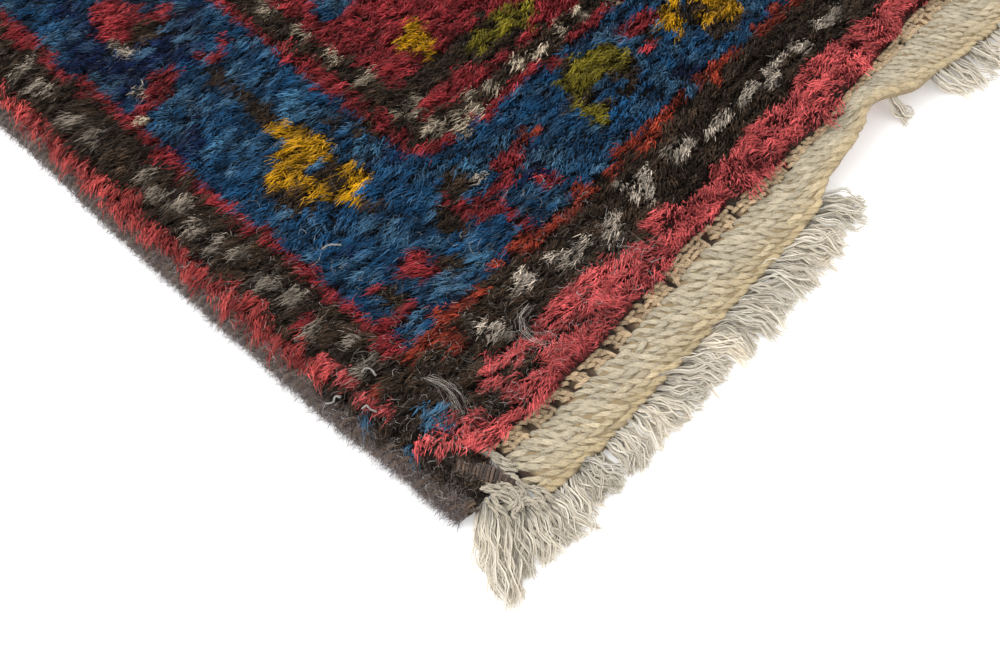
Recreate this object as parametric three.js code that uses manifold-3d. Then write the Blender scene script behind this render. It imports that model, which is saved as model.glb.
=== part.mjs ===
// A small hand-knotted wool rug that lies flat, with one end a little rucked up and its corner worn.
// The origin is on the floor under the middle of the rug. X runs along the woven ends, Y along the sides.
// Sizes are in millimetres. "Out" is a distance beyond the nominal end of the pile, away from the rug.
import * as THREE from "three";
import { mergeVertices } from "three/addons/utils/BufferGeometryUtils.js";
import Module from "manifold-3d";

const wasm = await Module();
wasm.setup();

// Driving dimensions of the whole rug
const rugWidth = 540;
const pileLength = 800;
const clearance = 0.3;

// Knotted pile on its cotton ground
const pileTop = 11.5;
const pileRimDrop = 3;
const lumpHeight = 0.9;
const cellAcross = 14;
const cellAlong = 16;
const ruckReach = 70;
const edgeReach = 60;

// Overcast side cords
const selvedgeWidth = 6;
const selvedgeHeight = 8.6;

// Twined end bands and their fringes
const plainStripHeight = 2;
const twinedRibs = 4;
const ribHeight = 4.6;
const ribValley = 3.4;
const rootCordWidth = 2.6;
const rootCordHeight = 2.6;
const lockPitch = 6.6;
const lockHalfWidth = 2.65;

// The bare corner at the near end of the left side, where the pile is gone
const bareCornerEnd = 17;
const bareCornerTop = 4.5;
const bandStart = 22.5;

// The near end, by distance from the left side: how far out the pile, the band and the fringe's tips reach,
// and how high the ruck lifts them
const nearEnd = [
  { at: 0, pile: 12, band: 12.6, tips: 43.5, lift: 0 },
  { at: 13, pile: 12, band: 12.6, tips: 43.5, lift: 0 },
  { at: bareCornerEnd, pile: 14.5, band: 19, tips: 43.5, lift: 0 },
  { at: bandStart, pile: 3, band: 26.5, tips: 43.5, lift: 0 },
  { at: 50, pile: 4.5, band: 28, tips: 41.5, lift: 0 },
  { at: 75, pile: 4.5, band: 27.3, tips: 42.5, lift: 0 },
  { at: 105, pile: 2.6, band: 27, tips: 43.5, lift: 0 },
  { at: 127, pile: 0, band: 25.8, tips: 42, lift: 0 },
  { at: 150, pile: 0.5, band: 25.5, tips: 41, lift: 0 },
  { at: 165, pile: 2.6, band: 24.6, tips: 38, lift: 2 },
  { at: 185, pile: 4, band: 18.5, tips: 39, lift: 5 },
  { at: 198, pile: 5.3, band: 17.5, tips: 34, lift: 8 },
  { at: 214, pile: 4.5, band: 13, tips: 34, lift: 12 },
  { at: 240, pile: 2, band: 20, tips: 34, lift: 8 },
  { at: 270, pile: -2, band: 22.5, tips: 38.5, lift: 3 },
  { at: 292, pile: -2, band: 23.5, tips: 40, lift: 0 },
  { at: 360, pile: 0, band: 27, tips: 43, lift: 0 },
  { at: 430, pile: 2, band: 25, tips: 41, lift: 0 },
  { at: 500, pile: 0, band: 27, tips: 43, lift: 0 },
  { at: rugWidth, pile: 2, band: 26, tips: 42, lift: 0 },
];

// The far end, finished plainly
const farEnd = [
  { at: 0, pile: 1, band: 26, tips: 42, lift: 0 },
  { at: 90, pile: -2, band: 24, tips: 41, lift: 0 },
  { at: 180, pile: 2, band: 27, tips: 43.5, lift: 0 },
  { at: 270, pile: 0, band: 26, tips: 41.5, lift: 0 },
  { at: 360, pile: -2, band: 24.5, tips: 42, lift: 0 },
  { at: 450, pile: 2, band: 27, tips: 43, lift: 0 },
  { at: rugWidth, pile: 0, band: 25.5, tips: 41, lift: 0 },
];

// How far each side lies in from its straight line, by distance from the near end of the pile
const leftSide = [
  { at: -12, inset: 5 },
  { at: 12, inset: 2.1 },
  { at: 50, inset: 0 },
  { at: 130, inset: 0 },
  { at: 215, inset: 2.4 },
  { at: 330, inset: 0.6 },
  { at: 480, inset: 2.6 },
  { at: 640, inset: 0 },
  { at: pileLength, inset: 2 },
];
const rightSide = [
  { at: 0, inset: 2 },
  { at: 160, inset: 0 },
  { at: 310, inset: 2.4 },
  { at: 470, inset: 0.4 },
  { at: 620, inset: 2.2 },
  { at: pileLength, inset: 0.6 },
];

// The stretch of the near end where the fringe has worn away, between its two parts
const wornStretch = { from: 176, to: 244 };

// The tuft of long ends at the bare corner: where each lock leaves the root cord, its tip, and how it bows
const tuftStart = 13;
const cornerTuft = [
  { root: 13.8, tipAt: -5, tipOut: 32.5, halfWidth: 2.2, bow: -0.14 },
  { root: 15.4, tipAt: -5.2, tipOut: 42.5, halfWidth: 2.2, bow: -0.08 },
  { root: 18, tipAt: 2.4, tipOut: 40, halfWidth: 2, bow: -0.02 },
  { root: 21, tipAt: 8.6, tipOut: 40.5, halfWidth: 2.4, bow: 0.03 },
];

// The value of one column between two rows of a table, eased so that no crease shows at a row
function read(table, column, at) {
  const next = table.findIndex((row) => row.at >= at);
  if (next === 0) return table[0][column];
  if (next < 0) return table[table.length - 1][column];
  const [a, b] = [table[next - 1], table[next]];
  const share = THREE.MathUtils.smoothstep(at, a.at, b.at);
  return THREE.MathUtils.lerp(a[column], b[column], share);
}

// Stops from the first value to the last, about a step apart
function spaced(first, last, step) {
  const count = Math.round((last - first) / step);
  return Array.from({ length: count + 1 }, (_, i) => THREE.MathUtils.lerp(first, last, i / count));
}

// A steady unevenness between -1 and 1, the same at every build
function uneven(at, along) {
  const across = Math.sin(at * 0.37 + 2.1 * Math.sin(along * 0.061));
  return across * Math.cos(along * 0.29 + 1.7 * Math.sin(at * 0.047));
}

// Stops across the rug, from the inner side of one selvedge to the other's
const sideEdge = selvedgeWidth + clearance;
const acrossStops = [
  sideEdge,
  13,
  bareCornerEnd,
  ...spaced(bandStart, rugWidth - sideEdge, cellAcross),
];

// Stops along the rug, closer together where the ruck rises
const alongStops = [
  ...spaced(0, ruckReach, cellAlong * 0.75),
  ...spaced(ruckReach, pileLength, cellAlong).slice(1),
];

// A point of the ground plan: the nominal place, moved with the uneven sides and ends
function groundPoint(at, along) {
  const left = read(leftSide, "inset", along);
  const right = read(rightSide, "inset", along);
  const across = (at - sideEdge) / (rugWidth - 2 * sideEdge);
  const nearShare = Math.max(0, 1 - along / edgeReach);
  const farShare = Math.max(0, 1 - (pileLength - along) / edgeReach);
  return new THREE.Vector2(
    at + THREE.MathUtils.lerp(left, -right, across) - rugWidth / 2,
    along - nearShare * read(nearEnd, "pile", at) + farShare * read(farEnd, "pile", at) - pileLength / 2,
  );
}

// How high the rug's underside is off the floor
function ruck(at, along) {
  return read(nearEnd, "lift", at) * (1 - THREE.MathUtils.smoothstep(along, 0, ruckReach));
}

// A closed geometry from points and triangles, turned so that its faces point out
function closedGeometry(points, triangles) {
  let volume = 0;
  for (const [a, b, c] of triangles) {
    volume += points[a].dot(new THREE.Vector3().crossVectors(points[b], points[c]));
  }
  const turned = volume < 0 ? triangles.map(([a, b, c]) => [a, c, b]) : triangles;
  const geometry = new THREE.BufferGeometry().setFromPoints(points);
  geometry.setIndex(turned.flat());
  geometry.computeVertexNormals();
  return geometry;
}

// The triangles that fill an outline, each turned the way the outline runs
function filled(outline) {
  const turn = Math.sign(THREE.ShapeUtils.area(outline));
  return THREE.ShapeUtils.triangulateShape(outline, []).map(([a, b, c]) => {
    const same = THREE.ShapeUtils.area([outline[a], outline[b], outline[c]]) * turn > 0;
    return same ? [a, b, c] : [a, c, b];
  });
}

// A solid through a row of sections with the same number of points, closed at both ends
function loft(sections, outline) {
  const around = sections[0].length;
  const points = sections.flat();
  const triangles = [];
  for (let s = 0; s + 1 < sections.length; s++) {
    for (let i = 0; i < around; i++) {
      const [a, b] = [s * around + i, s * around + ((i + 1) % around)];
      triangles.push([a, b, b + around], [a, b + around, a + around]);
    }
  }
  const last = (sections.length - 1) * around;
  for (const [a, b, c] of filled(outline)) {
    triangles.push([a, c, b], [a + last, b + last, c + last]);
  }
  return closedGeometry(points, triangles);
}

// The pile and the cotton ground it is knotted on: one lumpy slab, flat below but for the ruck
function pileGeometry() {
  const [columns, rows] = [acrossStops.length, alongStops.length];
  const rimTop = (at, along) => {
    const bare = along === 0 && at <= bareCornerEnd;
    return bare ? bareCornerTop : pileTop - pileRimDrop;
  };
  const top = [];
  const bottom = [];
  for (const [j, along] of alongStops.entries()) {
    for (const [i, at] of acrossStops.entries()) {
      const plan = groundPoint(at, along);
      const rim = i === 0 || j === 0 || i === columns - 1 || j === rows - 1;
      const height = rim ? rimTop(at, along) : pileTop - lumpHeight + lumpHeight * uneven(at, along);
      const under = ruck(at, along);
      top.push(new THREE.Vector3(plan.x, plan.y, under + height));
      bottom.push(new THREE.Vector3(plan.x, plan.y, under));
    }
  }
  const below = top.length;
  const triangles = [];
  const cell = (i, j) => {
    const corner = j * columns + i;
    return [corner, corner + 1, corner + 1 + columns, corner + columns];
  };
  const ruckedRows = alongStops.findIndex((along) => along >= ruckReach);
  for (let j = 0; j + 1 < rows; j++) {
    for (let i = 0; i + 1 < columns; i++) {
      const [a, b, c, d] = cell(i, j);
      triangles.push([a, b, c], [a, c, d]);
      if (j >= ruckedRows) continue;
      triangles.push([below + a, below + c, below + b], [below + a, below + d, below + c]);
    }
  }

  // The flat underside past the ruck is one face, bounded by the rim and the last rucked row
  const flatLoop = [];
  for (let i = 0; i < columns; i++) flatLoop.push(ruckedRows * columns + i);
  for (let j = ruckedRows + 1; j < rows; j++) flatLoop.push(j * columns + columns - 1);
  for (let i = columns - 2; i >= 0; i--) flatLoop.push((rows - 1) * columns + i);
  for (let j = rows - 2; j > ruckedRows; j--) flatLoop.push(j * columns);
  const contour = flatLoop.map((index) => new THREE.Vector2(bottom[index].x, bottom[index].y));
  for (const [a, b, c] of filled(contour)) {
    triangles.push([below + flatLoop[a], below + flatLoop[c], below + flatLoop[b]]);
  }

  // The sides of the slab
  const rim = [];
  for (let i = 0; i + 1 < columns; i++) rim.push(i);
  for (let j = 0; j + 1 < rows; j++) rim.push(j * columns + columns - 1);
  for (let i = columns - 1; i > 0; i--) rim.push((rows - 1) * columns + i);
  for (let j = rows - 1; j > 0; j--) rim.push(j * columns);
  for (const [k, a] of rim.entries()) {
    const b = rim[(k + 1) % rim.length];
    triangles.push([a, below + a, below + b], [a, below + b, b]);
  }
  return closedGeometry([...top, ...bottom], triangles);
}

// A side cord of wool overcast over the edge: flat below, round above, a little lumpy
function selvedgeGeometry(side) {
  const left = side === "left";
  const edgeAt = left ? sideEdge : rugWidth - sideEdge;
  const inward = left ? 1 : -1;
  const outline = [
    { across: 0, up: 0 },
    { across: 0, up: 0.88 },
    { across: 0.25, up: 1 },
    { across: 0.62, up: 0.97 },
    { across: 0.92, up: 0.76 },
    { across: 1, up: 0.42 },
    { across: 0.84, up: 0 },
  ].map(({ across, up }) => new THREE.Vector2(across, up));
  const sections = alongStops.map((along) => {
    const plan = groundPoint(edgeAt, along);
    const worn = left ? THREE.MathUtils.smoothstep(along, -10, 26) : 1;
    const height = selvedgeHeight * (0.62 + 0.38 * worn) + 0.4 * uneven(edgeAt, along);
    return outline.map(
      ({ x, y }) =>
        new THREE.Vector3(plan.x - inward * (clearance + x * selvedgeWidth), plan.y, y * height),
    );
  });
  return loft(sections, outline);
}

// The profile of an end band, from the pile outward: a low plain strip, then rows of twined ribs
function bandOutline() {
  const stripShare = 0.2;
  const ribShare = (1 - stripShare) / twinedRibs;
  const outline = [
    new THREE.Vector2(0, 0),
    new THREE.Vector2(0, plainStripHeight),
    new THREE.Vector2(stripShare, plainStripHeight),
  ];
  for (let rib = 0; rib < twinedRibs; rib++) {
    const start = stripShare + rib * ribShare;
    outline.push(new THREE.Vector2(start + ribShare * 0.5, ribHeight));
    if (rib + 1 < twinedRibs) outline.push(new THREE.Vector2(start + ribShare, ribValley));
  }
  outline.push(new THREE.Vector2(1, ribValley * 0.8), new THREE.Vector2(1, 0));
  return outline;
}

// A point of an end piece: across the rug from the left, out from the pile's end, and up
function endPoint(end, x, out, z) {
  const y = pileLength / 2 + out;
  return new THREE.Vector3(x, end === farEnd ? y : -y, z);
}

// Where a place across the rug lies along its end
function endX(end, at) {
  return groundPoint(at, end === farEnd ? pileLength : 0).x;
}

// Where the sections of an end piece stand, between two places across the rug
function endStops(end, from, to) {
  const stops = [from, ...acrossStops.filter((at) => at > from + 1 && at < to - 1), to];
  return stops.map((at) => ({ at, x: endX(end, at) }));
}

// The end band: plain weave beside the pile, then cotton twined in ribs with a slanting grain
function bandGeometry(end, from, to) {
  const outline = bandOutline();
  const grain = 0.35;
  const sections = endStops(end, from, to).map(({ at, x }, stop) => {
    const inner = read(end, "pile", at) + clearance;
    const outer = read(end, "band", at);
    return outline.map((point, i) => {
      const raised = point.y === ribHeight ? grain * ((stop + i) % 3) : 0;
      const out = THREE.MathUtils.lerp(inner, outer, point.x);
      return endPoint(end, x, out, point.y + raised + read(end, "lift", at));
    });
  });
  return loft(sections, outline);
}

// A three.js geometry as a solid that can be joined, and back
function solidOf(geometry) {
  const bare = new THREE.BufferGeometry();
  bare.setAttribute("position", geometry.getAttribute("position"));
  bare.setIndex(geometry.getIndex());
  const merged = mergeVertices(bare, 1e-4);
  return new wasm.Manifold(
    new wasm.Mesh({
      numProp: 3,
      vertProperties: new Float32Array(merged.getAttribute("position").array),
      triVerts: new Uint32Array(merged.getIndex().array),
    }),
  );
}

function geometryOf(solid) {
  const mesh = solid.getMesh();
  const geometry = new THREE.BufferGeometry();
  geometry.setAttribute("position", new THREE.BufferAttribute(new Float32Array(mesh.vertProperties), 3));
  geometry.setIndex(new THREE.BufferAttribute(new Uint32Array(mesh.triVerts), 1));
  geometry.computeVertexNormals();
  return geometry;
}

// One lock of loose warp ends: three sides, flat on the floor, full in the middle, thin at its tip.
// Where the ruck lifts its root, it comes down to the floor in the first part of its length.
function lockGeometry(end, root, tip, { halfWidth, bow, lift }) {
  const fullness = [
    { share: 0, wide: 0.85, high: 2, lifted: 1 },
    { share: 0.4, wide: 1, high: 4.4, lifted: 0.15 },
    { share: 0.75, wide: 0.9, high: 3.2, lifted: 0 },
    { share: 1, wide: 0.4, high: 1.2, lifted: 0 },
  ];
  const along = new THREE.Vector2(tip.x - root.x, tip.y - root.y);
  const side = new THREE.Vector2(-along.y, along.x).normalize();
  const sections = fullness.map(({ share, wide, high, lifted }) => {
    const floor = lift * lifted;
    const bend = Math.sin(share * Math.PI) * bow * along.length();
    const x = root.x + along.x * share - side.x * bend;
    const out = root.y + along.y * share - side.y * bend;
    const [dx, dOut] = [side.x * halfWidth * wide, side.y * halfWidth * wide];
    return [
      endPoint(end, x - dx, out - dOut, floor),
      endPoint(end, x + dx, out + dOut, floor),
      endPoint(end, x, out, floor + high),
    ];
  });
  return loft(sections, [new THREE.Vector2(-1, 0), new THREE.Vector2(1, 0), new THREE.Vector2(0, 1)]);
}

// The fringe: a root cord along the band's outer edge, with locks of warp ends that lie on the floor
function fringeGeometry(end, from, to, lean, tuft) {
  const outline = [
    { across: 0, up: 0 },
    { across: 0, up: 1 },
    { across: 1, up: 0.8 },
    { across: 1, up: 0 },
  ].map(({ across, up }) => new THREE.Vector2(across, up));
  const sections = endStops(end, from, to).map(({ at, x }) => {
    const inner = read(end, "band", at) + clearance;
    const lift = read(end, "lift", at);
    return outline.map((point) =>
      endPoint(end, x, inner + point.x * rootCordWidth, point.y * rootCordHeight + lift),
    );
  });
  let fringe = solidOf(loft(sections, outline));
  const rootOf = (at) => {
    const out = read(end, "band", at) + clearance + rootCordWidth / 2;
    return new THREE.Vector2(endX(end, at), out);
  };
  const firstLock = (from < bandStart ? bandStart : from) + lockPitch / 2;
  for (const at of spaced(firstLock, to - lockPitch / 2, lockPitch)) {
    const root = rootOf(at);
    const reach = read(end, "tips", at) - 1.4 * Math.abs(uneven(at, 40));
    const tip = new THREE.Vector2(root.x + lean + 0.8 * uneven(at, 90), reach);
    const form = { halfWidth: lockHalfWidth, bow: 0.1, lift: read(end, "lift", at) };
    fringe = fringe.add(solidOf(lockGeometry(end, root, tip, form)));
  }
  for (const { root, tipAt, tipOut, halfWidth, bow } of tuft) {
    const tip = new THREE.Vector2(tipAt - rugWidth / 2, tipOut);
    const form = { halfWidth, bow, lift: 0 };
    fringe = fringe.add(solidOf(lockGeometry(end, rootOf(root), tip, form)));
  }
  return geometryOf(fringe);
}

const looks = {
  pile: new THREE.MeshStandardMaterial({ color: 0x35466b, roughness: 0.95, metalness: 0 }),
  selvedge: new THREE.MeshStandardMaterial({ color: 0x3a302a, roughness: 0.95, metalness: 0 }),
  band: new THREE.MeshStandardMaterial({ color: 0xc8b48c, roughness: 0.9, metalness: 0 }),
  fringe: new THREE.MeshStandardMaterial({ color: 0xd9cfbe, roughness: 0.9, metalness: 0 }),
};

// Lay each piece in the rug; the bands and fringes stop a little short of the sides
const rug = new THREE.Group();
const sideMargin = 3;
const farSide = rugWidth - sideMargin;

function lay(name, geometry, look) {
  const mesh = new THREE.Mesh(geometry, look);
  mesh.name = name;
  rug.add(mesh);
}

lay("pile", pileGeometry(), looks.pile);
lay("selvedge_left", selvedgeGeometry("left"), looks.selvedge);
lay("selvedge_right", selvedgeGeometry("right"), looks.selvedge);
lay("end_band_near", bandGeometry(nearEnd, bandStart + clearance, farSide), looks.band);
lay("end_band_far", bandGeometry(farEnd, sideMargin, farSide), looks.band);
lay("fringe_near_left", fringeGeometry(nearEnd, tuftStart, wornStretch.from, -7, cornerTuft), looks.fringe);
lay("fringe_near_right", fringeGeometry(nearEnd, wornStretch.to, farSide, -7, []), looks.fringe);
lay("fringe_far", fringeGeometry(farEnd, sideMargin, farSide, 5, []), looks.fringe);

export default rug;
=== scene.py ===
import math

import bmesh
import bpy
import numpy as np
from mathutils import Matrix, Vector


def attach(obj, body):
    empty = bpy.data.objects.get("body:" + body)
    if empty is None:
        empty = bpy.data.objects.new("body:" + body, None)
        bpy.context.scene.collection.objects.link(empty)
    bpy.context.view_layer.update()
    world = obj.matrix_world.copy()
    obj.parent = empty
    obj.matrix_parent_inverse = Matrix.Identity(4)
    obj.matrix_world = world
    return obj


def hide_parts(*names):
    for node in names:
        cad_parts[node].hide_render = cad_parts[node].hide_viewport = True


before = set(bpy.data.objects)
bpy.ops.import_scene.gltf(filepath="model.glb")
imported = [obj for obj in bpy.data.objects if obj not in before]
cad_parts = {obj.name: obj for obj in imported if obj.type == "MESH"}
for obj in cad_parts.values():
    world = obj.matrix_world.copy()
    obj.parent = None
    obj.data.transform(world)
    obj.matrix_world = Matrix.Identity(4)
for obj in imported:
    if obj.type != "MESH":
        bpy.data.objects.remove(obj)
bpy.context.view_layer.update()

scene = bpy.context.scene


# Camera
# It stands where the photographer stood: low over the near left corner and looking down across it.
# All places are in the rug's own frame. The lens is the one that the stripes' vanishing lines give.
MM = 0.001
FOCAL_PIXELS, FRAME_WIDE, FRAME_HIGH = 1300, 1000, 667
SENSOR_WIDE = 36
NEAREST = 0.01
azimuth, elevation, roll = (math.radians(angle) for angle in (48.4, 58.87, 1.14))
eye = Vector((-0.3737, -0.5221, 0.3660))
ahead = Vector((math.sin(azimuth), math.cos(azimuth), 0))
look = ahead * math.cos(elevation) - Vector((0, 0, math.sin(elevation)))
level_right = Vector((math.cos(azimuth), -math.sin(azimuth), 0))
level_up = level_right.cross(look)
right = level_right * math.cos(roll) + level_up * math.sin(roll)
upward = level_up * math.cos(roll) - level_right * math.sin(roll)

lens = bpy.data.cameras.new("camera")
lens.sensor_width = SENSOR_WIDE
lens.lens = FOCAL_PIXELS / FRAME_WIDE * SENSOR_WIDE
lens.clip_start = NEAREST
camera = bpy.data.objects.new("camera", lens)
camera.matrix_world = Matrix.Translation(eye) @ Matrix((right, upward, -look)).transposed().to_4x4()
scene.collection.objects.link(camera)
scene.camera = camera


def seen(points, margin):
    """Which points, in millimetres, fall in the photographed frame or within a margin of it, in pixels."""
    away = points * MM - np.array(eye)
    deep = away @ np.array(look)
    inside = deep > NEAREST
    for axis, size in ((right, FRAME_WIDE), (upward, FRAME_HIGH)):
        inside &= np.abs(FOCAL_PIXELS * (away @ np.array(axis)) / deep) < size / 2 + margin
    return inside


# Ground cloth
# Cotton warps and wefts with the knots tied round them, woven as one flat cloth. Its near end is rucked up
# a little, its sides wander, and the knots' backs show the pattern on its underside.
RUG_WIDTH, PILE_LENGTH = 540, 800
SIDE_EDGE = 6.3
RUCK_REACH, EDGE_REACH = 70, 60
GROUND_THICK = 3.0
COLUMNS, ROWS = 140, 200
COARSE = 5

near_end = {
    "at": (0, 13, 17, 22.5, 50, 75, 105, 127, 150, 165, 185, 198, 214, 240, 270, 292, 360, 430, 500, 540),
    "pile": (12, 12, 14.5, 3, 4.5, 4.5, 2.6, 0, 0.5, 2.6, 4, 5.3, 4.5, 2, -2, -2, 0, 2, 0, 2),
    "band": (
        *(12.6, 12.6, 19, 26.5, 28, 27.3, 27, 25.8, 25.5, 24.6),
        *(18.5, 17.5, 13, 20, 22.5, 23.5, 27, 25, 27, 26),
    ),
    "tips": (43.5, 43.5, 43.5, 43.5, 41.5, 42.5, 43.5, 42, 41, 38, 39, 34, 34, 34, 38.5, 40, 43, 41, 43, 42),
    "lift": (0, 0, 0, 0, 0, 0, 0, 0, 0, 2, 5, 8, 12, 8, 3, 0, 0, 0, 0, 0),
}
far_end = {
    "at": (0, 90, 180, 270, 360, 450, 540),
    "pile": (1, -2, 2, 0, -2, 2, 0),
    "band": (26, 24, 27, 26, 24.5, 27, 25.5),
    "tips": (42, 41, 43.5, 41.5, 42, 43, 41),
    "lift": (0, 0, 0, 0, 0, 0, 0),
}
left_side = {"at": (-12, 12, 50, 130, 215, 330, 480, 640, 800), "inset": (5, 2.1, 0, 0, 2.4, 0.6, 2.6, 0, 2)}
right_side = {"at": (0, 160, 310, 470, 620, 800), "inset": (2, 0, 2.4, 0.4, 2.2, 0.6)}


def smooth(share):
    """A share from 0 to 1 that starts and ends gently."""
    share = np.clip(share, 0, 1)
    return share * share * (3 - 2 * share)


def eased(table, column, at):
    """A column of a table at any places between its rows, with no crease at a row."""
    stops, values = np.array(table["at"], float), np.array(table[column], float)
    row = np.clip(np.searchsorted(stops, at), 1, len(stops) - 1)
    share = smooth((at - stops[row - 1]) / (stops[row] - stops[row - 1]))
    return values[row - 1] + (values[row] - values[row - 1]) * share


def ground_plan(at, along):
    """Where a nominal place of the rug really lies: x and y in millimetres."""
    left, right_in = eased(left_side, "inset", along), eased(right_side, "inset", along)
    across = (at - SIDE_EDGE) / (RUG_WIDTH - 2 * SIDE_EDGE)
    near_share = np.clip(1 - along / EDGE_REACH, 0, None)
    far_share = np.clip(1 - (PILE_LENGTH - along) / EDGE_REACH, 0, None)
    y = along - near_share * eased(near_end, "pile", at) + far_share * eased(far_end, "pile", at)
    return at + left - (left + right_in) * across - RUG_WIDTH / 2, y - PILE_LENGTH / 2


def ruck(at, along):
    """How high the underside is off the floor."""
    return eased(near_end, "lift", at) * (1 - smooth(along / RUCK_REACH))


def wander(a, b, seed, coarse):
    """A smooth unevenness between about -1 and 1, with bumps about as far apart as coarse."""
    phases = np.random.default_rng(seed).uniform(0, 2 * np.pi, 6)
    a, b = a / coarse * 2.6, b / coarse * 2.6
    waves = np.sin(a + 0.6 * b + phases[0] + 1.3 * np.sin(0.7 * b + phases[1]))
    waves = waves + np.sin(1.9 * b - 0.5 * a + phases[2] + 1.1 * np.sin(0.9 * a + phases[3]))
    return (waves + 0.7 * np.sin(2.7 * a + phases[4]) * np.sin(2.3 * b + phases[5])) / 2.7


# Pattern of the knots
# Dyed wool, one colour a knot: a crimson edge stripe, a dark guard stripe with pale dashes, a blue border
# of flowers, a narrow inner guard stripe, and a red field. All is charted in millimetres from the near left
# corner.
def linear(*srgb):
    """A colour as the shaders take it, from its values on a screen."""
    shares = np.array(srgb) / 255
    return np.where(shares <= 0.04045, shares / 12.92, ((shares + 0.055) / 1.055) ** 2.4)


def mixed(first, second, share):
    """Two colours mixed, with this share of the second."""
    return first * (1 - share) + second * share


dyes = {
    "crimson": (184, 56, 62),
    "rose": (255, 110, 110),
    "madder": (216, 86, 82),
    "rust": (178, 66, 44),
    "blue": (25, 86, 132),
    "navy": (8, 38, 86),
    "sky": (84, 142, 182),
    "brown": (70, 53, 39),
    "ivory": (232, 214, 194),
    "ash": (184, 168, 150),
    "gold": (244, 178, 12),
    "olive": (148, 134, 34),
    "tan": (222, 202, 174),
}
dye_names = list(dyes)
dye_table = np.array([linear(*dye) for dye in dyes.values()])

# How deep each stripe's inner edge lies in from the sides, and from the ends, and the numbers of some stripes
side_stripes = (0, 11, 28.5, 33, 90, 95, 106, 110)
end_stripes = (-6, 12, 36, 40, 86, 90, 99.5, 104)
stripe_dyes = ("rose", "brown", "rust", "blue", "crimson", "brown", "crimson")
EDGE, GUARD, LINE, BORDER, INNER, FIELD = 0, 1, 2, 3, 5, 7

# Each dash of the near guard stripe in the photograph: its place along the end, in from it, and half its run
near_dashes = (
    (56, 22, 2.4, -2.4),
    (76, 28.5, 4.2, 1.3),
    (96.5, 24.5, 4.6, -1.5),
    (115, 22.5, 1.6, 1),
    (134, 29.5, 5, -1),
    (134, 23.5, 1.5, 0),
    (154, 26, 3.5, -1.6),
    (171, 22.5, 4, 0),
    (187, 22, 2, -1.4),
    (197, 20.5, 1.8, 0),
    (207, 22.5, 1.5, 0),
    (219, 21, 2, 0),
    (238, 22, 5, 0),
)
left_dashes = (45, 56, 66, 80, 88, 97, 105, 114, 125, 135, 144, 153, 180, 193, 212, 224)
near_inner_dashes = (132, 147, 156, 170, 182)
left_inner_dashes = (130, 147, 165)
DASH_PITCH = 13.5

# Each blot of a motif: its dye, its place along and across the border from the middle, and its half sizes
flower = (
    ("brown", -8, -13, 10, 6),
    ("brown", -13, 2, 9, 8),
    ("brown", 5, 18, 3, 4),
    ("brown", -6, 24, 3, 4),
    ("brown", 22, 5, 3, 4),
    ("brown", -31, 3, 3, 4),
    ("heart", 5, 3, 9, 9),
    ("heart", 15, 3, 4.5, 4),
    ("heart", -1, -8, 6, 7),
    ("heart", -11, -6, 4.5, 4.5),
    ("heart", -17, 8, 5.5, 5),
    ("heart", -22, 1, 4, 5),
    ("brown", -9, 7, 2, 2.5),
)
palmette = (
    ("navy", 2, 0, 22, 26),
    ("crimson", -26, -13, 5, 9),
    ("crimson", -21, -3, 4, 7),
    ("crimson", -24, 14, 3, 11),
    ("heart", 13, 2, 13, 10),
    ("heart", 4, 10, 5, 9),
    ("ivory", 3, -6, 5, 4),
    ("brown", 2, 5, 4, 9),
    ("ivory", -18, -16, 2, 2),
)
hook = (
    ("heart", 4, -2, 9, 4),
    ("heart", -1, 4, 4, 9),
    ("heart", 14, 1, 9, 3),
    ("brown", -8, 2, 3, 8),
    ("brown", 5, 12, 5, 6),
    ("ivory", 13, 9, 3, 3),
    ("heart", 8, -12, 2, 9),
    ("heart", 24, 5, 8, 4),
    ("heart", 28, -10, 5, 4),
    ("rust", 38, 8, 5, 4),
)
bud = (
    ("brown", 2, 0, 17, 13),
    ("heart", -6, 3, 7, 5),
    ("heart", 10, 3, 10, 6),
    ("heart", -13, -7, 4, 8),
    ("blue", -1, -6, 7, 5),
    ("heart", 2, 10, 13, 3),
)
stem = (("brown", 0, 0, 26, 2.6),)

# The flowers round the border: form, the dye of its heart, its place along the side, and in from the edge
left_motifs = (
    (stem, "brown", 155, 67),
    (flower, "gold", 118, 62),
    (palmette, "crimson", 204, 58),
    (stem, "brown", 262, 60),
    (bud, "olive", 300, 62),
    (hook, "crimson", 350, 60),
    (flower, "gold", 432, 62),
    (stem, "brown", 470, 64),
    (palmette, "crimson", 520, 60),
    (bud, "olive", 596, 62),
    (hook, "crimson", 634, 60),
)
near_motifs = (
    (hook, "crimson", 86, 61),
    (bud, "olive", 160, 68),
    (flower, "gold", 222, 63),
    (palmette, "crimson", 300, 62),
    (bud, "olive", 366, 64),
    (flower, "gold", 424, 62),
)

# Slanting dashes where the inner guard stripe turns the photographed corner
corner_dashes = ((99, 109), (106, 107), (104, 96), (111, 89), (123, 94))

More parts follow.
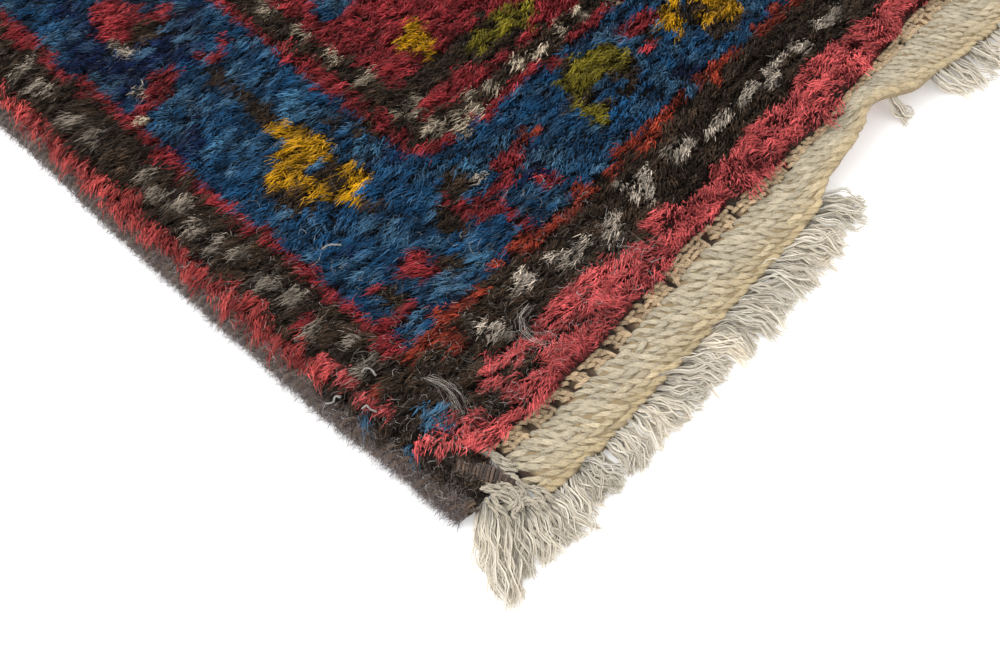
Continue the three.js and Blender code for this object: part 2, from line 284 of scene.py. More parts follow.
# Single blots of the photographed corner, and of the field beyond it: dye, place from the corner, half sizes
corner_blots = (
    ("brown", 5, 14, 10, 38),
    ("rose", 12, 40, 2.8, 17),
    ("rust", 13, 34, 2, 3),
    ("rose", 14, 11, 4, 5),
    ("brown", 9, -9, 14, 13),
    ("sky", 21, 15.5, 5.5, 4.5),
    ("sky", 4.5, 32.5, 2.4, 2.2),
    ("sky", 6.5, 11, 2.4, 2.2),
    ("brown", 36, 9, 5, 9),
    ("rose", 50, 11, 12, 6),
    ("brown", 52, 8, 7, 2),
    ("rose", 83, 12, 20, 5),
    ("rose", 125, 12, 6, 4),
    ("rust", 43, 31, 4, 8),
    ("crimson", 17, 70, 5, 2),
    ("crimson", 28, 44, 4, 5),
    ("crimson", 40, 50, 8, 1.9),
    ("crimson", 42, 61, 3, 1.9),
    ("brown", 44, 57, 3, 3),
    ("crimson", 60, 61, 8, 3),
    ("crimson", 59, 55, 5, 2.5),
    ("brown", 66, 52, 4, 3),
    ("navy", 62, 45, 4, 3),
    ("rust", 150, 40, 13, 5),
    ("crimson", 193, 75, 9, 4),
    ("crimson", 187, 64, 5, 2),
    ("sky", 77, 108, 3, 2.4),
    ("sky", 82, 103, 3, 2.4),
    ("sky", 76, 139, 6, 5),
    ("sky", 103, 73, 4, 5),
    ("sky", 44, 146, 6, 2),
    ("tan", 35, 172, 2.5, 2.5),
    ("brown", 120, 114, 17, 6),
    ("gold", 129, 130, 5, 7),
    ("gold", 134, 136, 4, 5),
    ("brown", 150, 112, 22, 9),
    ("olive", 148, 111, 9, 5),
    ("olive", 163, 112, 9, 7),
    ("blue", 121, 165, 9, 7),
)


def blot(u, v, middle_u, middle_v, half_u, half_v):
    """Which knots a blot covers: an ellipse with an uneven edge."""
    reach = ((u - middle_u) / half_u) ** 2 + ((v - middle_v) / half_v) ** 2
    return reach < 1 + 0.35 * wander(u, v, 31, 9)


# The border's blots and dashes in the order in which they cover each other: stripe, dye, place, half sizes
border = []
for motifs, step in ((left_motifs, -1), (near_motifs, 1)):
    for form, heart, along, deep in motifs:
        for name, *spot in form:
            place = np.add((along, deep), spot[:2])[::step]
            border.append((BORDER, heart if name == "heart" else name, *place, *spot[2:][::step]))
side_dashes = [(19.5, at, 5.0, 3.0) for at in left_dashes]
side_dashes += [(20, at, 5.4, 3.3) for at in np.arange(240, PILE_LENGTH - 40, DASH_PITCH)]
end_dashes = [(at, 26, 4.6, 4.0) for at in np.arange(260, RUG_WIDTH - 40, DASH_PITCH)]
for dashes, name, swing_u, swing_v in ((side_dashes, "ash", 1.8, 0), (end_dashes, "ivory", 0, 1.8)):
    for at_u, at_v, *half in dashes:
        swing = math.sin(0.9 * at_u + 1.7 * at_v)
        border.append((GUARD, name, at_u + swing_u * swing, at_v + swing_v * swing, *half))
for at_u, at_v, run_u, run_v in near_dashes:
    for share in (-1, 0, 1):
        border.append((GUARD, "ivory", at_u + share * run_u, at_v + share * run_v, 3.4, 2.9))
border += [(INNER, "tan", 103, at, 2.8, 4) for at in left_inner_dashes]
border += [(INNER, "tan", 103, at, 3.4, 5) for at in np.arange(182, PILE_LENGTH - 100, DASH_PITCH)]
border += [(INNER, "tan", at, 93.5, 3.4, 3.4) for at in near_inner_dashes]
border += [(INNER, "tan", at, 93.5, 4.8, 3.4) for at in np.arange(196, RUG_WIDTH - 100, DASH_PITCH)]

# The lozenge in the field, from its rim inward, and the small rosette in the field's other three corners
LOZENGE_STEP, LOZENGE_SHAPE = (15, 16), 1.45
lozenge = ((190, "brown"), (178, "navy"), (128, "tan"), (118, "blue"), (64, "brown"), (54, "crimson"))
rosette = ((11, "brown"), (7, "gold"), (2.5, "rust"))


def chart(u, v):
    """The dye of each knot, as its number in dye_names."""
    wave = 1.6 * wander(u, v, 3, 16) + 0.9 * wander(u, v, 4, 7)
    steps = np.arange(len(side_stripes))
    deep_side = np.interp(np.minimum(u, RUG_WIDTH - u) + wave, side_stripes, steps)
    deep_end = np.interp(np.minimum(v, PILE_LENGTH - v) + wave, end_stripes, steps)
    stripe = np.floor(np.minimum(deep_side, deep_end))
    dye = np.full(u.shape, dye_names.index("crimson"))

    def paint(mask, name):
        dye[mask] = dye_names.index(name)

    for number, name in enumerate(stripe_dyes):
        paint(stripe == number, name)
    paint((deep_side < deep_end) & (stripe == LINE), "crimson")
    paint((deep_side < deep_end) & (stripe == EDGE), "madder")

    # Patches of darker and lighter blue, as one dyeing of yarn followed another
    paint((stripe == BORDER) & (wander(u, v, 8, 30) > 0.62), "navy")
    paint((stripe == BORDER) & (wander(u, v, 9, 26) > 0.74), "sky")

    # The border, and the same turned half round for the right side and the far end
    for place in ((u, v), (RUG_WIDTH - u, PILE_LENGTH - v)):
        for number, name, *spot in border:
            paint(blot(*place, *spot) & (stripe == number), name)

    # A plain stepped lozenge in the middle of the field, then what lies over all stripes
    out_u, out_v = np.abs(u - RUG_WIDTH / 2), np.abs(v - PILE_LENGTH / 2)
    step_u, step_v = LOZENGE_STEP
    steps_in = np.floor(out_u / step_u) * step_u * LOZENGE_SHAPE + np.floor(out_v / step_v) * step_v
    for reach, name in lozenge:
        paint((steps_in < reach) & (stripe == FIELD), name)
    for name, *spot in corner_blots:
        paint(blot(u, v, *spot), name)
    for at_u, at_v in corner_dashes:
        for off in (-2.4, 0, 2.4):
            paint(blot(u, v, at_u + off, at_v + off, 2.6, 2.6), "tan")
    for at in ((407, 132), (133, 668), (407, 668)):
        for half, name in rosette:
            paint(blot(u, v, *at, half, half), name)
    return dye


# How the nap lies: its turn, the locks that worn tufts gather in, and how far in it spills over each edge
NAP_TURN, LOCK_TURN = math.radians(178), math.radians(166)
LOCK_WIDE, LOCK_LONG = 6.2, 11.0
LOCK_STOPS = (0, 0.15, 0.7, 1)
LEFT_SPILL, RIGHT_SPILL, NEAR_SPILL, FAR_SPILL = 13, 12, 8, 7
LEVEL, UPRIGHT = np.array([1, 1, 0]), np.array([0, 0, 1])


def nap(x, y, at, along):
    """How the pile lies: its tips' lean from the knots, how full it stands, and where its surface faces."""
    left_out = np.clip(1 - (at - SIDE_EDGE) / LEFT_SPILL, 0, 1)
    right_out = np.clip(1 - (RUG_WIDTH - SIDE_EDGE - at) / RIGHT_SPILL, 0, 1)
    near_out = np.clip(1 - along / NEAR_SPILL, 0, 1)
    far_out = np.clip(1 - (PILE_LENGTH - along) / FAR_SPILL, 0, 1)
    turn = NAP_TURN + 0.3 * wander(x, y, 21, 60) + 0.3 * wander(x, y, 22, 18) + 0.9 * left_out
    turn = turn + math.radians(20) * np.clip((x + RUG_WIDTH / 2 - 40) / 120, 0, 1)
    turn = turn + 1.2 * np.clip(1 - (along - 9) / 8, 0, 1) * wander(x, y, 28, 12)
    over = 5.0 + 1.2 * wander(x, y, 23, 30) + 1.2 * left_out
    ahead = np.stack([np.cos(turn), np.sin(turn), 0 * x], -1)

    # Tufts gather into locks that run with the nap, each with a full head over the hollow root of the next
    run = np.array([math.cos(LOCK_TURN), math.sin(LOCK_TURN), 0])
    aside = np.cross(UPRIGHT, run)
    across = (x * aside[0] + y * aside[1]) / LOCK_WIDE
    across = across + 0.7 * wander(x, y, 24, 30) + 0.4 * wander(x, y, 25, 9)
    lock = np.floor(across)
    off = (across - lock - 0.5)[..., None]
    forward = (x * run[0] + y * run[1]) / LOCK_LONG + 0.618 * lock + 0.5 * wander(x, y, 27, 30)
    share = forward - np.floor(forward)
    full = np.interp(share, LOCK_STOPS, (0.2, 0.6, 1, 0.35)) * (1 - 2.8 * off[..., 0] ** 2)
    lean = ahead * over[..., None] - aside * off * LOCK_WIDE * 0.45
    lean[..., 0] += 8.5 * right_out
    lean[..., 1] += 3.0 * far_out + 1.0 * near_out
    slope = np.interp(share, LOCK_STOPS, (-0.2, 0, 0.2, 0.5))[..., None]
    return lean, np.clip(full - 0.45 * left_out, 0, 1), UPRIGHT + aside * off * 1.3 + run * slope


# The middle of each knot: nominal place, real place, how the cloth lies under it, and its dye
knot_at, knot_along = np.meshgrid(
    SIDE_EDGE + (np.arange(COLUMNS) + 0.5) * (RUG_WIDTH - 2 * SIDE_EDGE) / COLUMNS,
    (np.arange(ROWS) + 0.5) * PILE_LENGTH / ROWS,
)
knot_x, knot_y = ground_plan(knot_at, knot_along)
knot_lift = ruck(knot_at, knot_along)
knot_lean, knot_full, _ = nap(knot_x, knot_y, knot_at, knot_along)
tip_u = knot_x + RUG_WIDTH / 2 + 0.85 * knot_lean[..., 0]
tip_v = knot_y + PILE_LENGTH / 2 + 0.85 * knot_lean[..., 1]
knot_dye = chart(tip_u, tip_v)


def dyed(*names):
    """Which knots have one of these dyes."""
    return np.isin(knot_dye, [dye_names.index(name) for name in names])


# Each knot's own tone, and the small patches where the blue wool has faded
chance = np.random.default_rng(5)
row_tone = chance.normal(0, 0.04, (ROWS, 1))
patchy = 0.22 * wander(tip_u, tip_v, 12, 44) + 0.34 * wander(tip_u, tip_v, 13, 17)
knot_tone = chance.normal(0, 0.18, knot_dye.shape) + row_tone + patchy
knot_tone += np.where(dyed("ivory"), chance.normal(-0.1, 0.3, knot_dye.shape), 0)
lumps = wander(tip_u, tip_v, 29, 7)
knot_tone += np.where(dyed("blue", "navy"), np.minimum(0.7 * lumps, 0.12), 0.4 * lumps)
faded = 1.1 * lumps + 0.5 * wander(tip_u, tip_v, 14, 10) + 0.4 * wander(tip_u, tip_v, 15, 24)
faded = (0.75 * np.clip(faded, 0, 1) * dyed("blue", "navy"))[..., None]
knot_colour = mixed(dye_table[knot_dye] * np.exp(knot_tone)[..., None], linear(106, 152, 184), faded)


def mesh_of(points, faces):
    """A mesh from arrays: points in millimetres, and the corners of each face."""
    made = bpy.data.meshes.new("mesh")
    made.from_pydata(points.reshape(-1, 3) * MM, [], faces)
    made.shade_smooth()
    return made


def add_piece(name, mesh, finish):
    """A piece of the rug, with its place in its mesh, that goes with the rug's one body."""
    mesh.name = name
    mesh.materials.append(finish.material)
    piece = bpy.data.objects.new(name, mesh)
    scene.collection.objects.link(piece)
    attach(piece, "root")
    return piece


def dye_points(mesh, colours):
    """Stores a colour for each point, or one for all, as the yarn's colour that a material reads."""
    rgba = np.ones((len(mesh.vertices), 4), np.float32)
    rgba[:, :3] = colours.reshape(-1, 3)
    mesh.attributes.new("yarn", "FLOAT_COLOR", "POINT").data.foreach_set("color", rgba.ravel())


def squares(count, axes):
    """Equal squares of a map, one for each of many things: their lower left corners, and their width."""
    across = math.ceil(math.sqrt(count))
    number = np.arange(count).reshape(-1, *[1] * axes)
    return np.concatenate([number % across, number // across], -1) / across, 1 / across


def unwrap(mesh, places, name="OFBake"):
    """Gives the mesh a UV map, from a place for each corner of its faces."""
    mesh.uv_layers.new(name=name).uv.foreach_set("vector", places.astype(np.float32).ravel())


class Shade:
    """A shader socket that Python's operators work on."""

    def __init__(self, finish, socket):
        self.finish, self.socket = finish, socket

    def math(self, operation, *values):
        return self.finish.node("Math", {"operation": operation}, dict(enumerate(values)))

    def __add__(self, other):
        return self.math("ADD", self, other)

    def __mul__(self, other):
        return self.math("MULTIPLY", self, other)

    def __abs__(self):
        return self.math("ABSOLUTE", self)

    __radd__, __rmul__ = __add__, __mul__

    def sine(self):
        return self.math("SINE", self)


class Finish:
    """A material with one Principled shader, and the one way in which its other nodes are made."""

    def __init__(self, name, **constants):
        self.material = bpy.data.materials.new(name)
        self.material.use_nodes = True
        self.tree = self.material.node_tree
        self.surface(**constants)

    def join(self, made, sockets):
        """Gives each named input of a node a value, or another node's socket."""
        for place, value in sockets.items():
            if isinstance(value, Shade):
                self.tree.links.new(value.socket, made.inputs[place])
            else:
                made.inputs[place].default_value = value

    def surface(self, **sockets):
        named = {name.replace("_", " "): value for name, value in sockets.items()}
        self.join(self.tree.nodes["Principled BSDF"], named)

    def node(self, kind, settings, sockets, output=0):
        made = self.tree.nodes.new("ShaderNode" + kind)
        for key, value in settings.items():
            setattr(made, key, value)
        self.join(made, sockets)
        return Shade(self, made.outputs[output])

    def blend(self, factor, a, b, kind="MIX"):
        return self.node("Mix", {"data_type": "RGBA", "blend_type": kind}, {0: factor, 6: a, 7: b}, output=2)

    def stored(self, name, output="Color"):
        return self.node("Attribute", {"attribute_name": name}, {}, output)

    def object_places(self):
        return self.node("TexCoord", {}, {}, "Object")

    def part(self, vector, axis):
        return self.node("SeparateXYZ", {}, {"Vector": vector}, axis)

    def noise(self, scale, detail=3):
        sockets = {"Vector": self.object_places(), "Scale": scale, "Detail": detail}
        return self.node("TexNoise", {}, sockets, "Fac")

    def bump(self, height, distance):
        return self.node("Bump", {}, {"Height": height, "Distance": distance}, "Normal")


def grey(value):
    """A shade that multiplies a colour without changing its hue."""
    return (value, value, value, 1)


def grid_faces(columns, rows):
    """The quads of a grid of points, and the points round its rim, anticlockwise."""
    corner = (np.arange(rows)[:, None] * (columns + 1) + np.arange(columns)).ravel()
    quads = np.stack([corner, corner + 1, corner + columns + 2, corner + columns + 1], -1)
    near_line, left_line = np.arange(columns + 1), np.arange(rows + 1) * (columns + 1)
    far_line = near_line + rows * (columns + 1)
    around = [near_line[:-1], left_line[:-1] + columns, far_line[:0:-1], left_line[:0:-1]]
    return quads, np.concatenate(around)


# The cloth itself is a closed sheet. The knots' backs are fine faces below. The hidden side above is coarser,
# and each wall face joins the two.
line_at, line_along = np.meshgrid(
    np.linspace(SIDE_EDGE, RUG_WIDTH - SIDE_EDGE, COLUMNS + 1), np.linspace(0, PILE_LENGTH, ROWS + 1)
)
lower = np.stack([*ground_plan(line_at, line_along), ruck(line_at, line_along)], -1)
upper = (lower + GROUND_THICK * UPRIGHT)[::COARSE, ::COARSE]
under, under_rim = grid_faces(COLUMNS, ROWS)
over, over_rim = (part + line_at.size for part in grid_faces(COLUMNS // COARSE, ROWS // COARSE))
walls = []
for step, corner in enumerate(over_rim):
    foot = np.roll(under_rim, -step * COARSE)[: COARSE + 1]
    walls.append([*foot.tolist(), int(np.roll(over_rim, -step - 1)[0]), int(corner)])
ground_mesh = mesh_of(
    np.concatenate([lower.reshape(-1, 3), upper.reshape(-1, 3)]),
    under[:, ::-1].tolist() + over.tolist() + walls,
)
face_colour = np.ones((len(ground_mesh.polygons), 4), np.float32)
# Painted shade: the cloth's top and walls are dark brown, for the deep shade between the tufts; its underside
# carries the knots' pattern
face_colour[:, :3] = linear(40, 30, 26)
face_colour[: len(under), :3] = knot_colour.reshape(-1, 3)
ground_mesh.attributes.new("knot", "FLOAT_COLOR", "FACE").data.foreach_set("color", face_colour.ravel())

# The knots' backs stand up as small ribs, a little dusty
KNOT_WIDE, KNOT_LONG = 3.75 * MM, 4 * MM
knotted_back = Finish("knotted_back", Roughness=0.9, Sheen_Weight=0.1)
places = knotted_back.object_places()
across = knotted_back.part(places, "X") * (math.pi / KNOT_WIDE)
along = knotted_back.part(places, "Y") * (math.pi / KNOT_LONG)
ribs = abs(across.sine()) * abs(along.sine())
dust = knotted_back.noise(90)
dusty = knotted_back.blend(dust * 0.45, knotted_back.stored("knot"), (*linear(150, 130, 105), 1))
knotted_back.surface(
    Base_Color=knotted_back.blend(1.0, dusty, grey(0.62), "MULTIPLY"),
    Normal=knotted_back.bump(ribs + dust * 0.3, 0.0008),
)
rug_ground = add_piece("rug_ground", ground_mesh, knotted_back)
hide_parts("pile")


# Knotted pile
# Two cut ends of wool yarn stand up from every knot and fray into fine fibres. The nap lies over towards the
# near left corner, and worn tufts keep together in locks.
FIBRES, FIBRE_SEED = 60, 7
FOOT_HALF, FIBRE_HALF = 2, 0.18
WIDEST_UP, WIDEST_OVER = 0.84, 0.55
BUD_RADIUS = 2.7
GATHER = 0.3
PILE_HIGH = 7.9
ROOT_UP = GROUND_THICK - 0.4
FRAME_MARGIN = 28

# How much lower the pile stands in a hollow between locks, and how much a full lock adds: frayed, then plain
HOLLOW, FULLNESS = 2.6, 2.8
PLAIN_HOLLOW, PLAIN_FULLNESS = 1.2, 1.4

pile_wool = Finish("pile_wool", Roughness=0.8, Specular_IOR_Level=0.2, Sheen_Weight=0.08, Sheen_Roughness=0.4)
fine = pile_wool.noise(1100, 2)
pile_wool.surface(
    Base_Color=pile_wool.blend(fine * 0.35, pile_wool.stored("yarn"), grey(0.5), "MULTIPLY"),
    Normal=pile_wool.stored("faces", "Vector"),
)
far_wool = Finish("far_wool", Roughness=0.85, Specular_IOR_Level=0.2, Sheen_Weight=0.14, Sheen_Roughness=0.4)
fine = far_wool.noise(900, 2)
far_wool.surface(
    Base_Color=far_wool.blend(fine * 0.4, far_wool.stored("yarn"), grey(0.5), "MULTIPLY"),
    Normal=far_wool.bump(fine, 0.0005),
)


def unit(vectors):
    """The same directions, each of length one."""
    return vectors / (np.linalg.norm(vectors, axis=-1, keepdims=True) + 1e-9)


def worn(x, y):
    """How far the pile is worn down: wholly at the bare corner."""
    u, v = x + RUG_WIDTH / 2, y + PILE_LENGTH / 2
    return np.clip((9 - (u - 4.5) * 0.5 - v) / 5, 0, 1) * (u < 26)


def frayed_pile(name, mask):
    """The tufts of the chosen knots, fibre by fibre. Each is a thin blade, widest halfway, that lies over."""
    count = int(mask.sum())
    draw = np.random.default_rng(FIBRE_SEED + count)
    shape = (count, FIBRES)
    foot = draw.uniform(-FOOT_HALF, FOOT_HALF, (2, *shape))
    x, at = (place[mask][:, None] + foot[0] for place in (knot_x, knot_at))
    y, along = (place[mask][:, None] + foot[1] for place in (knot_y, knot_along))
    lean, full, faces = nap(x, y, at, along)
    left = 1 - 0.62 * worn(x, y)
    spot = np.stack([*foot, 0 * x], -1)

    # Where each blade starts, where it is widest, and its tip
    uneven = 1 + draw.normal(0, 0.06, shape) + draw.normal(0, 0.05, (count, 1))
    up = ((PILE_HIGH - HOLLOW + FULLNESS * full) * left * uneven)[..., None] * UPRIGHT
    over = lean * (0.92 + draw.normal(0, 0.32, (*shape, 1))) * left[..., None]
    over = over + draw.normal(0, 0.9, (*shape, 3)) * LEVEL
    over = over - GATHER * spot + draw.normal(0, 0.6, (count, 1, 3)) * LEVEL
    start = np.stack([x, y, knot_lift[mask][:, None] + ROOT_UP + 0 * x], -1)
    middle = start + up * WIDEST_UP + over * WIDEST_OVER + draw.normal(0, 0.45, (*shape, 3))
    tilt = draw.normal(0, 0.4, (*shape, 1))
    side = (unit(np.cross(UPRIGHT, over)) * np.cos(tilt) + np.sin(tilt) * UPRIGHT) * FIBRE_HALF
    points = np.stack([start, middle - side, middle + side, start + up + over], 2)
    blade = np.arange(count * FIBRES)[:, None, None] * 4 + np.array([[2, 0, 1], [1, 3, 2]])
    mesh = mesh_of(points, blade.reshape(-1, 3))

    # The red edge stripes are matted into an even felt, and the brown wool is the most mixed
    matted = dyed("rose", "madder")[mask][:, None]
    varied = np.where(dyed("brown")[mask][:, None], 0.36, np.where(matted, 0.07, 0.11))
    # Painted shade: a fibre is darker where its lock is less full, in the hollows between locks; in the
    # matted stripes less so, with a random swirl of tone
    swirl = (0.58 + 0.36 * full) * np.exp(0.3 * wander(x, y, 33, 9))
    tone = np.exp(draw.normal(0, 1, shape) * varied) * np.where(matted, swirl, 0.26 + 0.8 * full)
    # Painted shade and light along each fibre: dark at its root and lighter at its tip, the matted stripes'
    # roots less dark
    shade = np.where(matted[..., None, None], [[0.75], [1.0], [1.0], [1.15]], [[0.25], [1.0], [1.0], [1.3]])
    # Painted highlights: a faint sheen at every fibre's tip and a bright glint at a few, tinted warm
    glint = 0.006 * draw.gamma(1.2, 1, shape) + 0.22 * (draw.uniform(0, 1, shape) < 0.03)
    tip_highlight = glint[..., None, None] * np.array([0, 0.1, 0.1, 1])[:, None] * [1, 0.93, 0.84]
    dye_points(mesh, knot_colour[mask][:, None, None] * tone[..., None, None] * shade + tip_highlight)
    rough = np.where(matted, 0.12, 0.22)[..., None]
    faces = faces + 0.2 * spot + rough * draw.normal(0, 1, (*shape, 3))
    faces = np.repeat(faces[:, :, None], 4, axis=2).astype(np.float32)
    mesh.attributes.new("faces", "FLOAT_VECTOR", "POINT").data.foreach_set("vector", faces.ravel())

    # Each tuft has a square of the map, and each fibre a small square of that
    square, wide = squares(count, 3)
    fibre_square, fibre_wide = squares(FIBRES, 2)
    inside = fibre_square + fibre_wide * np.array([[0.5, 0.05], [0.9, 0.5], [0.1, 0.5], [0.5, 0.95]])
    unwrap(mesh, (square + wide * inside).reshape(-1, 2)[blade])
    return add_piece(name, mesh, pile_wool)


def plain_pile(name, mask):
    """The tufts of the chosen knots as one small leaning bud each, for the part out of the photograph."""
    count = int(mask.sum())
    draw = np.random.default_rng(FIBRE_SEED + count)
    lean, full = knot_lean[mask][:, None], knot_full[mask]
    height = (PILE_HIGH - PLAIN_HOLLOW + PLAIN_FULLNESS * full) * (1 + draw.normal(0, 0.05, count))
    level = height[:, None, None] * UPRIGHT
    root = np.stack([knot_x[mask], knot_y[mask], knot_lift[mask] + ROOT_UP], -1)[:, None]
    over = lean + draw.normal(0, 0.6, (count, 1, 3)) * LEVEL
    turn = draw.uniform(0, 2 * np.pi, (count, 1)) + np.arange(3) * 2 * np.pi / 3
    ring = np.stack([np.cos(turn), np.sin(turn), 0 * turn], -1)
    waist = root + ring * BUD_RADIUS + level * 0.78 + over * 0.5
    points = np.concatenate([root, waist, root + level + over], 1)
    bud = np.array([[0, 2, 1], [0, 3, 2], [0, 1, 3], [1, 2, 4], [2, 3, 4], [3, 1, 4]])
    mesh = mesh_of(points, (np.arange(count)[:, None, None] * 5 + bud).reshape(-1, 3))
    # Painted shade: each bud is darker where its lock is less full, and the rose and ivory ones darker still,
    # for the shade the fibres cast among themselves
    tone = (0.5 + 0.5 * full) * np.where(dyed("rose", "ivory")[mask], 0.75, 1)
    # Painted shade on each bud: darkest at its root, and darker on the side towards which it leans
    shade = np.tile([0.15, 0.62, 0.62, 0.62, 0.72], (count, 1))
    shade[:, 1:4] -= 0.2 * (ring * unit(lean)).sum(-1)
    dye_points(mesh, (knot_colour[mask] * tone[:, None])[:, None] * shade[..., None])

    # Each bud has a square of the map, with its lower faces in one half and its upper ones in the other
    inside = np.tile((0.25, 0.5), (count, 5, 1))
    inside[:, 1:4] += ring[..., :2] * 0.23
    inside = inside[:, bud]
    inside[:, 3:, :, 0] += 0.5
    square, wide = squares(count, 3)
    unwrap(mesh, square + wide * inside)
    return add_piece(name, mesh, far_wool)


knot_top = np.stack([knot_x, knot_y, knot_lift + GROUND_THICK + PILE_HIGH], -1)
in_photo = seen(knot_top, FRAME_MARGIN)
order = np.cumsum(in_photo).reshape(in_photo.shape)
thirds = np.minimum(order * 3 // (order.max() + 1), 2)
pile_pieces = [frayed_pile(f"pile_corner_{part + 1}", in_photo & (thirds == part)) for part in range(3)]
halves = knot_along > PILE_LENGTH / 2
pile_pieces += [plain_pile("pile_near", ~in_photo & ~halves), plain_pile("pile_far", ~in_photo & halves)]


# Side cords
# Dark brown wool overcast round the outermost warps along both sides, matted and fuzzy with wear. The left
# one shows in the photograph. At its near end the wool has worn thin.
CLEARANCE = 0.3
CORD_WIDE, CORD_HIGH = 6.0, 7.9
WORN_FROM, WORN_OVER, WORN_SHARE = -10, 36, 0.62
TURN_PITCH, TURN_HALF = 2.6, 2.4
HAIRY_REACH, HAIR_WIDE = 250, 0.14


def tube_mesh(paths, radii, colours, sides=6, flat=1.0):
    """Yarns as round bars with closed ends: a path, its radii and its colours for each, in arrays."""
    count, steps = paths.shape[:2]
    along = unit(np.gradient(paths, axis=1))
    side = unit(np.cross(along, [0.02, 0.03, 1.0]))
    over = np.cross(side, along) * flat
    angle = np.arange(sides)[:, None] * 2 * np.pi / sides
    ring = side[:, :, None] * np.cos(angle) + over[:, :, None] * np.sin(angle)
    points = paths[:, :, None] + ring * np.broadcast_to(radii, (count, steps))[..., None, None]

    # Each quad's corners as a step along the yarn and a place round it, then the same for the closing ends
    step, turn = np.meshgrid(np.arange(steps - 1), np.arange(sides), indexing="ij")
    step_of = np.stack([step, step + 1, step + 1, step], -1).reshape(-1, 4)
    turn_of = np.stack([turn, turn, turn + 1, turn + 1], -1).reshape(-1, 4)
    body_map = np.stack([turn_of / sides, 0.07 + 0.86 * step_of / (steps - 1)], -1)
    lids = sides // 2 - 1
    fan = 2 * np.arange(lids)[:, None] + np.arange(4)
    fan[:, 0] = 0
    lid = np.tile((0, 0.01), (lids, 4, 1))
    lid[..., 0] = (np.arange(lids)[:, None] + [0, 1, 1, 0]) / lids
    lid[:, 2:, 1] = 0.05
    step_of = np.concatenate([step_of, np.zeros_like(fan), np.full_like(fan, steps - 1)])
    turn_of = np.concatenate([turn_of, fan, fan[:, ::-1]])
    one_map = np.concatenate([body_map, lid, lid + [0, 0.94]])
    faces = np.arange(count)[:, None, None] * steps * sides + (step_of * sides + turn_of % sides)
    mesh = mesh_of(points, faces.reshape(-1, 4))
    dye_points(mesh, np.repeat(np.broadcast_to(colours, paths.shape)[:, :, None], sides, axis=2))
    square, wide = squares(count, 3)
    unwrap(mesh, square + wide * one_map)

    # A second map in turns and millimetres, for the twist of the yarn
    length = np.cumsum(np.linalg.norm(np.diff(paths, axis=1, prepend=paths[:, :1]), axis=-1), axis=1)
    unwrap(mesh, np.stack([np.broadcast_to(turn_of / sides, faces.shape), length[:, step_of]], -1), "lay")
    return mesh


def fibre_mesh(paths, width, colours, thin=0.25):
    """Loose fibres as narrow blades that thin out to their tips."""
    count, steps = paths.shape[:2]
    facing = np.random.default_rng(count).normal(0, 1, (count, 1, 3))
    side = unit(np.cross(np.gradient(paths, axis=1), facing)) * width / 2
    side = side * np.interp(np.linspace(0, 1, steps), (0, 0.6, 1), (1, 0.9, thin))[:, None]
    faces = np.arange(count * steps).reshape(count, steps)[:, :-1, None] * 2 + [0, 1, 3, 2]
    mesh = mesh_of(np.stack([paths - side, paths + side], 2), faces.reshape(-1, 4))
    dye_points(mesh, np.repeat(np.broadcast_to(colours, paths.shape)[:, :, None], 2, axis=2))
    inside = np.stack(np.meshgrid([0.1, 0.9], np.linspace(0.05, 0.95, steps)), -1)
    square, wide = squares(count, 3)
    unwrap(mesh, (square + wide * inside).reshape(-1, 2)[faces])
    return mesh


def loft_mesh(sections):
    """A closed solid through a row of sections with the same number of points."""
    steps, around = sections.shape[:2]
    step, turn = np.meshgrid(np.arange(steps - 1), np.arange(around), indexing="ij")
    quads = np.stack([step * around + turn, step * around + (turn + 1) % around], -1)
    quads = np.concatenate([quads, quads[..., ::-1] + around], -1).reshape(-1, 4)
    ring = np.arange(around)
    ends = [ring[::-1].tolist(), (ring + (steps - 1) * around).tolist()]
    mesh = mesh_of(sections, quads.tolist() + ends)
    solid = bmesh.new()
    solid.from_mesh(mesh)
    bmesh.ops.recalc_face_normals(solid, faces=solid.faces)
    solid.to_mesh(mesh)
    solid.free()
    return mesh


# The cord's section from the pile outward, as shares of its width and height, and the overcasting round it
cord_across = np.array([0, 0, 0.25, 0.62, 0.9, 0.96, 0.8])
cord_up = np.array([0.02, 0.8, 0.93, 0.9, 0.7, 0.4, 0.03])
round_cord = np.array([0.1, 0.3, 0.62, 0.84, 0.88, 0.74]), np.array([0.84, 0.9, 0.87, 0.66, 0.36, 0.14])


def cord_places(side, along, across, up):
    """Places on a side cord: how far along the rug, and shares of the cord's width and height."""
    along, across, up = np.broadcast_arrays(along, across, up)
    outward, edge_at = (-1, SIDE_EDGE) if side == "left" else (1, RUG_WIDTH - SIDE_EDGE)
    x, y = ground_plan(np.full_like(along, edge_at), along)
    whole = smooth((along - WORN_FROM) / WORN_OVER) if side == "left" else 1
    high = CORD_HIGH * (WORN_SHARE + (1 - WORN_SHARE) * whole) + 0.5 * wander(x, y, 41, 14)
    return np.stack([x + outward * (CLEARANCE + across * CORD_WIDE), y, up * high], -1)


brown_wool = Finish("brown_wool", Roughness=0.9, Sheen_Weight=0.25)
matted = brown_wool.noise(900, 4)
brown_wool.surface(
    Base_Color=brown_wool.blend(matted * 0.7, brown_wool.stored("yarn"), (*linear(38, 30, 26), 1)),
    Normal=brown_wool.bump(matted, 0.0006),
)
cord_wool = linear(100, 79, 66)

